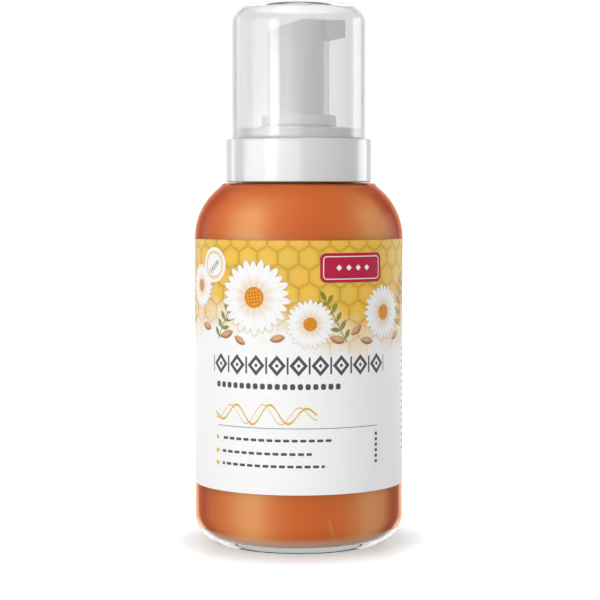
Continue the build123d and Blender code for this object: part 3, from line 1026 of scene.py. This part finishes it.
class LabelPrint:
    """The printed face of the label: honeycomb, daisies, leaves and plain ornament."""

    inks: dict[str, Colour] = {
        "white": linear(249, 249, 249),
        "honey": linear(240, 158, 14),
        "pale": linear(246, 206, 92),
        "mustard": linear(198, 160, 48),
        "crimson": linear(184, 26, 66),
        "deep": linear(170, 100, 34),
        "brown": linear(176, 132, 62),
        "umber": linear(112, 62, 34),
        "oat": linear(232, 204, 164),
        "leaf": linear(124, 128, 52),
        "light": linear(190, 190, 110),
        "grey": linear(78, 78, 80),
        "script": linear(224, 178, 40),
    }

    def __init__(self, shader: Shader) -> None:
        """Starts on blank film.

        Args:
            shader: The label's shader.
        """
        self.shader = shader
        self.where = shader.node("ShaderNodeUVMap", uv_map="print").outputs[0]
        self.at = Place(*shader.parts(self.where)[:2])
        self.cloud = shader.noise(self.where, 0.12, 3.0)
        self.colour: Source = self.inks["white"]

    def paint(self, ink: str | bpy.types.NodeSocket, mask: Value) -> None:
        """Prints an ink where a mask is 1."""
        colour = self.inks[ink] if isinstance(ink, str) else ink
        self.colour = self.shader.blend(mask, self.colour, colour)

    def stamp(self, stencil: Stencil, u: float, v: float, size: float,
              degrees: float = 0.0) -> None:
        """Prints a motif.

        Args:
            stencil: The motif.
            u: Its centre along the label.
            v: Its centre above the label's foot.
            size: Its size in millimetres.
            degrees: Its turn, anticlockwise.
        """
        sources = {"U": self.at.u, "V": self.at.v, "Centre U": u, "Centre V": v,
                   "Turn": math.radians(degrees), "Size": size}
        node = self.shader.node("ShaderNodeGroup", sources, node_tree=stencil.tree)
        for ink in stencil.inks:
            self.paint(ink, Value(self.shader, node.outputs[ink]))

    def honeycomb(self, cell: float, foot: float, head: float) -> None:
        """Prints the golden honeycomb, which fades out downwards.

        Args:
            cell: Distance between neighbouring cells.
            foot: Height where it starts to show.
            head: Height from which it is full.
        """
        tall = cell * math.sqrt(3.0)
        first = Place(self.at.u.wrapped(cell), self.at.v.wrapped(tall))
        second = Place((self.at.u - cell / 2).wrapped(cell), (self.at.v - tall / 2).wrapped(tall))
        nearer = length(first.u, first.v).apply("LESS_THAN", length(second.u, second.v))
        u = abs(second.u + (first.u - second.u) * nearer)
        v = abs(second.v + (first.v - second.v) * nearer)
        reach = u.most(u * 0.5 + v * (math.sqrt(3.0) / 2))
        wall = (reach * -1.0 + (cell / 2 - 0.26)).inside(0.3)
        swell = (self.at.u * 0.11).apply("SINE") * 2.2 + (self.at.u * 0.043).apply("SINE") * 3.0
        shown = ((self.at.v + swell - foot) / (head - foot)).capped((self.cloud - 0.5) * 1.3)
        warm = ((self.cloud - 0.5) * 2.4).capped(0.45)
        glow = self.shader.blend(warm, self.inks["mustard"], self.inks["honey"])
        depth = (reach / (cell * 0.6)).apply("POWER", 3.0, clamp=True)
        self.paint(self.shader.blend(depth * 0.7 + 0.25, self.inks["pale"], glow), shown)
        self.paint("mustard", wall * shown * 0.8)

    def row(self, ink: str, u_from: float, u_to: float, v: float, half_v: float,
            shape: Callable[[Place], Value]) -> None:
        """Prints a strip of repeated shapes.

        Args:
            ink: Its ink.
            u_from: Start of the row.
            u_to: End of the row.
            v: Its height.
            half_v: Half the height that is kept.
            shape: Gives the distance to the shapes.
        """
        here = self.at.local((u_from + u_to) / 2, v)
        kept = shape(here).most(here.box((u_to - u_from) / 2, half_v))
        self.paint(ink, kept.inside(0.16))

    def title_band(self, here: Place) -> Value:
        """A bold band of hollow lozenges and bars.

        Args:
            here: The place as the band sees it.

        Returns:
            The distance to its shapes.
        """
        pitch, half_v = 60.0 / 9, 3.2
        cell = Place((here.u + pitch / 2).wrapped(pitch), here.v)
        lozenge = abs(cell.u) * (half_v / (pitch * 0.42)) + abs(cell.v) - half_v
        hollow = (lozenge + half_v * 0.45) * -1.0
        bars = Place(here.u.wrapped(pitch), here.v).box(0.3, half_v * 0.8)
        return lozenge.most(hollow).least(lozenge + half_v * 0.78).least(bars)

    def ribbon(self, here: Place) -> Value:
        """A ribbon of two lines that wind round each other.

        Args:
            here: The place as the ribbon sees it.

        Returns:
            The distance to its lines.
        """
        phase = here.u * (math.tau / 11.5)
        swing = (here.u * 0.09).apply("COSINE") * 1.5 + 1.6
        line = here.v - phase.apply("SINE") * swing
        twin = here.v - (phase + 1.2).apply("SINE") * swing
        return (abs(line) - 0.34).least(abs(twin) - 0.17)

    def side_column(self, u_from: float, u_to: float, v_from: float, v_to: float,
                    pitch: float) -> None:
        """Prints a column of plain fine lines, broken here and there.

        Args:
            u_from: Its left side.
            u_to: Its right side.
            v_from: Its foot.
            v_to: Its head.
            pitch: Distance between its lines.
        """
        here = self.at.local((u_from + u_to) / 2, (v_from + v_to) / 2)
        row = (here.v / pitch).apply("FLOOR")
        broken = (row * 7.31).apply("SINE") * 2.6 + here.u
        line = Place(broken.wrapped(11.0), here.v.wrapped(pitch)).box(4.9, pitch * 0.17)
        ends = (row * 3.17).apply("SINE") * 3.0 + here.u
        limit = abs(here.u).most(ends) - (u_to - u_from) / 2
        shape = line.most(limit).most(abs(here.v) - (v_to - v_from) / 2)
        self.paint("grey", shape.inside(0.25) * 0.8)

    def picture(self) -> None:
        """Prints the honeycomb picture along the label's upper part."""
        sprig = Stencil("sprig_print", sprig_masks)
        self.honeycomb(6.4, 45.0, 60.0)
        for stencil, marks in (
                (Stencil("honey_drop_print", drop_masks),
                 ((-44, 60, 3.4), (41.5, 52, 3.8), (49, 58, 2.6), (-52, 55, 2.6),
                  (72, 57, 3.4), (-76, 58, 3.2))),
                (sprig,
                 ((-28, 47, 14, 62), (15, 46.5, 15, 118), (38, 50, 16, 70),
                  (-46, 50, 15, 105), (-66, 52, 14, 80), (62, 49, 16, 96))),
                (Stencil("daisy_print", daisy_masks),
                 ((-14, 60, 11.5, 8), (3.5, 52, 7.5, 20), (30, 55, 8.5), (-38, 63, 7.0, 11),
                  (58, 66, 7.5, 4), (-60, 60, 9.0, 15))),
                (Stencil("seed_print", seed_masks),
                 ((-24, 48.5, 2.6, 20), (-19, 46.8, 2.3, -32), (-6.5, 47.6, 2.5, 12),
                  (12, 47.2, 2.6, -18), (18.5, 50.0, 2.4, 40), (22.5, 46.6, 2.5, -8),
                  (37, 47.4, 2.3, 25), (-34, 50.5, 2.5, -12))),
                (Stencil("tag_print", tag_masks), ((17.5, 69.0, 11.0),)),
                (Stencil("badge_print", badge_masks), ((-30.0, 69.6, 5.4),)),
                (sprig, ((-32.0, 67.2, 5.0, 40),))):
            for mark in marks:
                self.stamp(stencil, *mark)

    def ornament(self) -> None:
        """Prints the plain bands and rows that stand where a label has its words."""
        self.row("grey", -30.0, 30.0, 39.4, 3.3, self.title_band)
        self.row("grey", -29.0, 13.6, 33.0, 1.0,
                 lambda here: Place(here.u.wrapped(2.35), here.v).box(0.8, 0.9, 0.6))
        self.row("script", -29.0, 5.6, 24.4, 4.4, self.ribbon)
        self.row("grey", -28.0, 27.0, 20.3, 0.5, lambda here: abs(here.v) - 0.1)
        for v, stop in ((16.6, 10.6), (12.5, 4.0), (8.7, 8.0)):
            self.row("script", -29.0, -27.4, v, 1.0, lambda here: here.disc(0.65))
            self.row("grey", -26.0, stop, v, 0.6,
                     lambda here: Place(here.u.wrapped(2.6), here.v).box(0.95, 0.42, 0.3))
        self.row("grey", 25.7, 27.3, 13.5, 5.5,
                 lambda here: Place(here.u, here.v.wrapped(1.7)).box(0.55, 0.5, 0.3))
        self.side_column(45.0, 83.0, 10.0, 44.0, 2.1)
        self.side_column(-88.0, -58.0, 10.0, 44.0, 2.1)

    def everything(self) -> Source:
        """Prints the whole label.

        Returns:
            The colour over the label.
        """
        self.picture()
        self.ornament()
        return self.colour


def label_material() -> bpy.types.Material:
    """Printed polypropylene film.

    Returns:
        The material.
    """
    shader = Shader("printed_film")
    art = LabelPrint(shader)
    relief = shader.bump(shader.noise(art.where, 4.0), 0.000004)
    shader.set(Base_Color=art.everything(), Roughness=art.cloud * 0.1 + 0.34, Normal=relief,
               IOR=1.45, Specular_IOR_Level=0.25)
    return shader.material


# ---------------------------------------------------------------- finishes in use
class Finishes:
    """Every material of the bottle, built once."""

    def __init__(self) -> None:
        """Builds the shared effects and the materials."""
        moulded, clear, drawn = moulded_effect(), clear_effect(), drawn_effect()

        def plastic(name: str, colour: Colour, **rest: float) -> bpy.types.Material:
            """Builds one moulded plastic."""
            return Plastic(name, colour, **rest).material(moulded)

        self.collar = plastic("white_collar_plastic", linear(212, 212, 214), roughness=0.3,
                              gloss=1.0, gloss_bend=1.7, gloss_haze=0.16)
        # Painted shade: the head's white plastic is given a darker colour than the collar's, for
        # the shade inside the cap.
        self.head = plastic("shaded_white_head_plastic", linear(190, 191, 193),
                            gloss=0.8, gloss_haze=0.26, gloss_bend=1.9)
        self.guide = plastic("white_guide_plastic", linear(226, 226, 228), roughness=0.36)
        self.natural = plastic("natural_polypropylene", linear(226, 224, 218), roughness=0.38,
                               milky=0.35, see_through=0.15)
        self.tube = plastic("natural_polythene", linear(236, 232, 224), roughness=0.35,
                            milky=0.3, see_through=0.35)
        self.gasket = plastic("seal_foam", linear(232, 230, 226), roughness=0.8, tone=0.08)
        self.piston = plastic("white_piston_polythene", linear(232, 232, 230), roughness=0.42,
                              milky=0.3)
        self.valve = plastic("soft_valve_silicone", linear(224, 222, 216), roughness=0.5,
                             milky=0.4)
        self.mesh = plastic("woven_nylon", linear(240, 240, 240), roughness=0.45, tone=0.06)
        self.spring = Steel("spring_steel", (0.56, 0.56, 0.57)).material(drawn)
        self.ball = Steel("ball_steel", (0.66, 0.66, 0.68)).material(drawn)
        # Each shell's edge colour is painted shade along its outline. The bottle's last colour is
        # painted light: the fill's colour on its sides.
        self.bottle = Clear("clear_bottle_plastic", (0.98, 0.975, 0.965), (0.94, 0.93, 0.91),
                            0.02, 0.16, gloss=0.22, gloss_bend=1.3, bend=1.02,
                            painted_fill_light=linear(224, 153, 104)).material(clear)
        self.overcap = Clear("clear_cap_plastic", (0.945, 0.945, 0.95), (0.56, 0.56, 0.565),
                             0.015, 0.12, milky=0.13, edge_shade_power=2.2).material(clear)
        self.shampoo = Amber().material()
        self.label = label_material()


# ---------------------------------------------------------------- sub-assemblies
@dataclass
class Container:
    """The blown bottle with its label and its fill."""

    finishes: Finishes
    radius: float = 33.0
    wall: float = 0.9
    thin: float = 0.12
    shoulder_start: float = 96.9
    shoulder_arc: float = 20.3
    land: float = 114.2
    neck: float = 19.8
    bore: float = 17.9
    neck_top: float = 124.4
    label_inner: float = 33.03
    label_outer: float = 33.1
    label_gap: float = 14.0
    label_seam: float = 105.0
    label_corner: float = 2.5
    label_strips: int = 240
    heel: tuple[float, float] = (8.5, 9.8)
    floor_inside: float = 1.7
    crown: float = 3.0
    push_up: tuple[Point, Point] = ((12.71, 2.16), (20.5, 0.0))
    turnover_rise: float = 0.9
    bead: tuple[Point, ...] = ((20.7, 1.3), (20.9, 1.5), (20.9, 2.0), (20.7, 2.2))
    thread_crest: float = 20.8
    thread_turns: float = 1.15
    pump_flange: float = 15.5

    def foot(self, inset: float, floor: float) -> list[Point]:
        """The outline from the push-up's crown out to the straight wall.

        Args:
            inset: Distance inwards from the outer skin.
            floor: Height of the standing ring at that depth.

        Returns:
            The points.
        """
        side, rise = (size - inset for size in self.heel)
        inner = self.radius - inset - side
        eighth = math.sqrt(0.5)
        half_way, ring = ((radius, floor + height) for radius, height in self.push_up)
        push_up = bow((0.0, floor + self.crown), half_way, ring, 10)
        corner = bow((inner, floor), (inner + side * eighth, floor + rise * (1 - eighth)),
                     (self.radius - inset, floor + rise), 14)
        return push_up + corner

    def shoulder(self, inset: float, land: float) -> list[Point]:
        """The outline from the straight wall over the shoulder to its land.

        Args:
            inset: Distance inwards from the outer skin.
            land: Height of the land at that depth.

        Returns:
            The points.
        """
        centre = (self.radius - self.shoulder_arc, self.shoulder_start)
        reach = self.shoulder_arc - inset
        rise = land - self.turnover_rise - self.shoulder_start
        angle = math.degrees(math.asin(rise / reach))
        edge = centre[0] + math.sqrt(reach**2 - rise**2)
        curve = arc(centre, reach, 0.0, angle, 20)
        turnover = bow(curve[-1], (edge - 0.42, land - 0.24), (edge - 1.4, land), 5)
        return curve + turnover[1:]

    def shell(self) -> None:
        """Turns the bottle's shell, neck and support bead."""
        bead = [(radius, self.land + height) for radius, height in (
            (self.neck, 1.2), *self.bead, (self.neck, 2.5))]
        rim = arc((self.neck - 0.3, self.neck_top - 0.3), 0.3, 0.0, 90.0, 4)
        outside = self.foot(0.0, 0.0) + self.shoulder(0.0, self.land) + [
            (self.neck, self.land)] + bead + rim
        ceiling = self.land - self.thin
        inside = self.foot(self.wall, self.floor_inside) + self.shoulder(self.thin, ceiling)
        throat = [(self.bore, self.neck_top), (self.bore, ceiling)]
        piece = turn("bottle_shell", outside + throat + inside[::-1], closed=False)
        place(piece, Body.CONTAINER, "clear_bottle", self.finishes.bottle, "bottle")

    def thread(self) -> None:
        """Winds the neck's thread."""
        foot = self.land + 3.4
        root, side, crest = self.neck - 0.1, self.thread_crest - 0.1, self.thread_crest
        section = [(root, foot), (side, foot + 0.45), (crest, foot + 0.6),
                   (crest, foot + 0.95), (side, foot + 1.1), (root, foot + 1.55)]
        path = [(self.thread_turns, self.thread_turns * THREAD_PITCH)]
        piece = helix_rod("neck_thread", section, path, THREAD_STEPS)
        place(piece, Body.CONTAINER, "clear_bottle", self.finishes.bottle)

    def label(self) -> None:
        """Cuts the label flat, rounds its corners and wraps it round the bottle."""
        low, high = node_box("label")
        height = high.z - low.z
        first = math.radians(self.label_seam + self.label_gap / 2 - 270)
        last = first + math.radians(360 - self.label_gap)
        outer = self.label_outer
        bm = bmesh.new()
        corners = [bm.verts.new((outer * u * MM, 0, v * MM))
                   for u, v in ((first, 0), (last, 0), (last, height), (first, height))]
        bm.faces.new(corners)
        bmesh.ops.bevel(bm, geom=corners, offset=self.label_corner * MM, segments=8,
                        profile=0.5, affect="VERTICES", material=-1, offset_type="OFFSET")
        for i in range(1, self.label_strips):
            u = outer * (first + (last - first) * i / self.label_strips) * MM
            cut(bm, (u, 0, 0), (1, 0, 0))
        bmesh.ops.solidify(bm, geom=bm.faces[:], thickness=(outer - self.label_inner) * MM)
        print_layer = bm.loops.layers.uv.new("print")
        for face in bm.faces:
            for loop in face.loops:
                loop[print_layer].uv = (loop.vert.co.x / MM, loop.vert.co.z / MM)
        front = max(v.co.y for v in bm.verts)
        for vert in bm.verts:
            angle = vert.co.x / (outer * MM) - math.pi / 2
            radius = outer * MM - (front - vert.co.y)
            level = vert.co.z + low.z * MM
            vert.co = (radius * math.cos(angle), radius * math.sin(angle), level)
        face_outwards(bm)
        shade_smooth(bm)
        piece = to_object(bm, "wrap_label")
        place(piece, Body.CONTAINER, "label_film", self.finishes.label, "label")

    def top_up(self) -> None:
        """Turns the last of the fill, which stands in the mouth of the neck round the pump."""
        surface = self.land + 0.5
        inner, outer = self.pump_flange, self.bore - 0.05
        outline = [(inner, self.land - 1.05), (outer, self.land - 1.05),
                   (outer, surface), (outer - 0.35, surface - 0.15), (inner, surface - 0.15)]
        piece = turn("shampoo_surface", outline)
        place(piece, Body.CONTAINER, "shampoo", self.finishes.shampoo)

    def fill(self) -> None:
        """Copies the fill, and fits its top to the shell's shoulder and land."""
        piece = smooth_copy("shampoo", "shampoo_fill")
        start = (self.land - 2.2) * MM
        top = max(vert.co.z for vert in piece.data.vertices)
        lift = (self.land - self.thin - 0.05) * MM - top
        centre = (self.radius - self.shoulder_arc) * MM
        reach = (self.shoulder_arc - self.wall - 0.05) * MM
        for vert in piece.data.vertices:
            vert.co.z += lift * max(0.0, (vert.co.z - start) / (top - start))
            rise = vert.co.z - self.shoulder_start * MM
            if rise > 0:
                most = centre + math.sqrt(reach**2 - rise**2)
                vert.co.xy *= min(1.0, most / max(vert.co.xy.length, MM))
        place(piece, Body.CONTAINER, "shampoo", self.finishes.shampoo, "shampoo")

    def build(self) -> None:
        """Makes every piece of the container."""
        self.shell()
        self.thread()
        self.label()
        self.fill()
        self.top_up()


@dataclass
class Closure:
    """The screw collar with its thread."""

    finishes: Finishes
    thread_foot: float = 117.8
    bore: float = 21.6

    def build(self) -> None:
        """Makes the collar and its thread."""
        collar = smooth_copy("collar", "screw_collar")
        place(collar, Body.CLOSURE, "white_plastic", self.finishes.collar, "collar")
        foot = self.thread_foot + THREAD_PITCH / 2
        section = [(self.bore, foot), (20.95, foot + 0.45), (20.9, foot + 0.95),
                   (self.bore, foot + 1.4)]
        piece = helix_rod("collar_thread", section, [(1.0, THREAD_PITCH)], THREAD_STEPS)
        place(piece, Body.CLOSURE, "white_plastic", self.finishes.collar)


@dataclass
class Cover:
    """The clear overcap."""

    finishes: Finishes
    radius: float = 21.07
    wall: float = 1.1
    bottom: float = 128.2
    top: float = 170.4
    roof: float = 1.3
    corner: float = 5.7

    def build(self) -> None:
        """Turns the overcap."""
        inner = self.radius - self.wall
        inner_corner = self.corner - self.wall
        ceiling = self.top - self.roof
        outside = [(0.0, self.top)] + arc(
            (self.radius - self.corner, self.top - self.corner), self.corner, 90.0, 0.0, 16)
        rim = [(self.radius, self.bottom + 0.3), (self.radius - 0.1, self.bottom + 0.08),
               (self.radius - 0.25, self.bottom), (inner + 0.4, self.bottom),
               (inner + 0.3, self.bottom + 0.1), (inner, self.bottom + 0.8)]
        inside = arc((inner - inner_corner, ceiling - inner_corner), inner_corner, 0.0, 90.0, 16)
        piece = turn("clear_overcap", outside + rim + inside + [(0.0, ceiling)], closed=False)
        place(piece, Body.COVER, "clear_cap", self.finishes.overcap, "overcap")


@dataclass
class Pump:
    """The pump's body, plunger, head and inner pieces."""

    finishes: Finishes
    wire: float = 0.42
    coil: float = 3.95
    spring_foot: float = 81.25
    coils: tuple[Point, ...] = ((0.9, 0.82), (5.0, 15.22), (0.9, 0.82))

    def spring(self) -> None:
        """Winds the return spring, with closed ends."""
        section = arc((self.coil, self.spring_foot + self.wire), self.wire, 0.0, 330.0, 11)
        piece = helix_rod("wound_return_spring", section, self.coils, 60)
        place(piece, Body.PUMP, "spring_steel", self.finishes.spring, "return_spring")
        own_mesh(piece)

    def build(self) -> None:
        """Makes the pump's pieces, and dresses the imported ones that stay."""
        f = self.finishes
        for node, name, body, slot, material in (
                ("guide_ring", "guide_chaplet", Body.PUMP, "white_plastic", f.guide),
                ("actuator_head", "press_head", Body.HEAD, "white_plastic", f.head),
                ("dip_tube", "bent_dip_tube", Body.PUMP, "tube_plastic", f.tube),
                ("pump_housing", "stepped_housing", Body.PUMP, "natural_plastic", f.natural)):
            place(smooth_copy(node, name), body, slot, material, node)
        self.spring()
        kept = {"gasket": f.gasket, "valve_rod": f.natural, "inlet_ball": f.ball,
                "piston_rod": f.natural, "liquid_piston": f.piston, "air_piston": f.piston,
                "air_check_valve": f.valve, "mixing_stem": f.natural,
                "mesh_holder": f.natural, "mesh_coarse": f.mesh, "mesh_fine": f.mesh}
        for node, material in kept.items():
            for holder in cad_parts[node].material_slots:
                holder.material = material
            LOG.info("%s keeps its packed form, in %s", node, material.name)


# ---------------------------------------------------------------- studio
def seen_directly(tree: Tree, mirrored: float = 0.6) -> Value:
    """How far the white background shows: 1 straight or through clear pieces, 0 in lighting.

    Args:
        tree: The node tree that asks.
        mirrored: How far it shows in glossy faces.

    Returns:
        The share.
    """
    path = tree.node("ShaderNodeLightPath")
    straight = Value(tree, path.outputs["Diffuse Depth"]).apply("LESS_THAN", 0.5)
    clear = straight * Value(tree, path.outputs["Is Transmission Ray"])
    glossy = straight * Value(tree, path.outputs["Is Glossy Ray"]) * mirrored
    return clear.most(glossy).most(Value(tree, path.outputs["Is Camera Ray"]))


@dataclass(frozen=True)
class Softbox:
    """A rectangular studio light, placed round the bottle.

    Azimuth 0 is over the camera, and 90 to the right of the view.
    """

    name: str
    azimuth: float
    distance: float
    height: float
    width: float
    tall: float
    power: float
    aim: float = 0.09

    def light(self) -> None:
        """Sets the light up, facing the bottle."""
        data = bpy.data.lights.new(self.name, "AREA")
        data.shape = "RECTANGLE"
        data.size, data.size_y = self.width, self.tall
        data.energy = self.power
        lamp = bpy.data.objects.new(self.name, data)
        angle = math.radians(self.azimuth)
        lamp.location = (self.distance * math.sin(angle), -self.distance * math.cos(angle),
                         self.height)
        away = lamp.location - Vector((0, 0, self.aim))
        lamp.rotation_euler = away.to_track_quat("Z", "Y").to_euler()
        lamp.visible_camera = False
        bpy.context.scene.collection.objects.link(lamp)


@dataclass
class Studio:
    """A pale floor, a white surround, soft lights and the camera.

    Each glow of the surround has an azimuth, a height, a strength and a power.
    """

    floor_half: float = 4.0
    floor_drop: float = 0.00003
    floor_lift: float = 0.53
    near: float = 0.1
    far_lift: float = 0.75
    painted_shadow_ring: tuple[float, float] = (0.033, 0.008)
    painted_shadow_depth: float = 0.23
    surround_light: float = 0.235
    backdrop: float = 1.02
    glows: tuple[tuple[float, float, float, float], ...] = (
        (-8.0, 0.3, 1.17, 4.0),
        (180.0, 0.1, 0.4, 3.0),
        (0.0, 6.0, 0.45, 2.0),
    )
    softboxes: tuple[Softbox, ...] = (
        Softbox("cap_strip", -42.5, 1.2, 0.213, 0.36, 0.107, 0.75, aim=0.15),
        Softbox("cap_card", -62.0, 1.2, 0.215, 1.1, 0.2, 0.7, aim=0.15),
        Softbox("collar_card", -46.0, 1.2, 0.145, 2.9, 0.055, 2.5, aim=0.12),
        Softbox("right_rim", 122.0, 0.9, 0.2, 0.45, 0.36, 1.0),
        Softbox("left_rim", -128.0, 1.0, 0.2, 0.2, 0.5, 0.45),
        Softbox("top_box", -35.0, 0.5, 1.1, 0.6, 0.6, 1.8),
    )
    viewer: tuple[float, float, float] = (0.0004, -0.605, 0.1105)
    viewer_dip: float = 3.163
    lens: float = 114.0

    def floor(self) -> None:
        """Lays the pale floor."""
        bm = bmesh.new()
        bmesh.ops.create_grid(bm, x_segments=1, y_segments=1, size=self.floor_half)
        bmesh.ops.translate(bm, verts=bm.verts, vec=(0, 0, -self.floor_drop))
        piece = to_object(bm, "studio_floor")
        shader = Shader("pale_floor")
        cloud = shader.node("ShaderNodeTexNoise", {"Scale": 3.0})
        tone = Value(shader, cloud.outputs[0])
        seen = seen_directly(shader, mirrored=0.9)
        reach = Value(shader, shader.vector("LENGTH", shader.position(), output="Value"))
        away = (reach - self.near).scaled(3.0) * self.far_lift
        # Painted shadow: a ring round the bottle's heel is taken off the floor's lift, deepening
        # its contact shadow.
        heel = ((reach - self.painted_shadow_ring[0]) / self.painted_shadow_ring[1]).bell() * self.painted_shadow_depth
        shader.set(Base_Color=shader.blend(tone, (0.8, 0.8, 0.8), (0.82, 0.82, 0.82)),
                   Roughness=0.35, IOR=1.3, Emission_Color=(0.95, 0.985, 1.0),
                   Emission_Strength=seen * (away - heel + self.floor_lift))
        piece.data.materials.append(shader.material)

    def surround(self) -> None:
        """Sets the white surround, which lights the bottle from a soft glow at the front left."""
        world = bpy.data.worlds.new("white_surround")
        world.use_nodes = True
        world.node_tree.nodes.clear()
        tree = Tree(world.node_tree)
        where = tree.node("ShaderNodeTexCoord").outputs["Generated"]
        light: Value | float = self.surround_light
        for azimuth, height, strength, power in self.glows:
            angle = math.radians(azimuth)
            towards = Vector((math.sin(angle), -math.cos(angle), height)).normalized()
            along = Value(tree, tree.vector("DOT_PRODUCT", where, towards, output="Value"))
            light = light + along.most(0.0).apply("POWER", power) * strength
        shown = light + (light * -1.0 + self.backdrop) * seen_directly(tree)
        background = tree.node("ShaderNodeBackground",
                               {"Color": (1.0, 1.0, 1.0), "Strength": shown})
        tree.node("ShaderNodeOutputWorld", {0: background.outputs[0]})
        bpy.context.scene.world = world

    def camera(self) -> None:
        """Stands the camera in front, a little above the label, looking slightly down."""
        data = bpy.data.cameras.new("product_camera")
        data.lens = self.lens
        data.sensor_width = 36.0
        data.clip_start = 0.01
        viewer = bpy.data.objects.new("product_camera", data)
        viewer.location = self.viewer
        viewer.rotation_euler = (math.radians(90 - self.viewer_dip), 0.0, 0.0)
        bpy.context.scene.collection.objects.link(viewer)
        bpy.context.scene.camera = viewer

    def build(self) -> None:
        """Sets up the whole studio."""
        self.floor()
        self.surround()
        for softbox in self.softboxes:
            softbox.light()
        self.camera()
        bpy.context.scene.view_settings.view_transform = "Standard"


def main() -> None:
    """Builds the bottle and its studio."""
    logging.basicConfig(level=logging.INFO, format="%(name)s: %(message)s")
    finishes = Finishes()
    for assembly in (Container(finishes), Closure(finishes), Cover(finishes), Pump(finishes)):
        assembly.build()
    Studio().build()


if __name__ == "__main__":
    main()
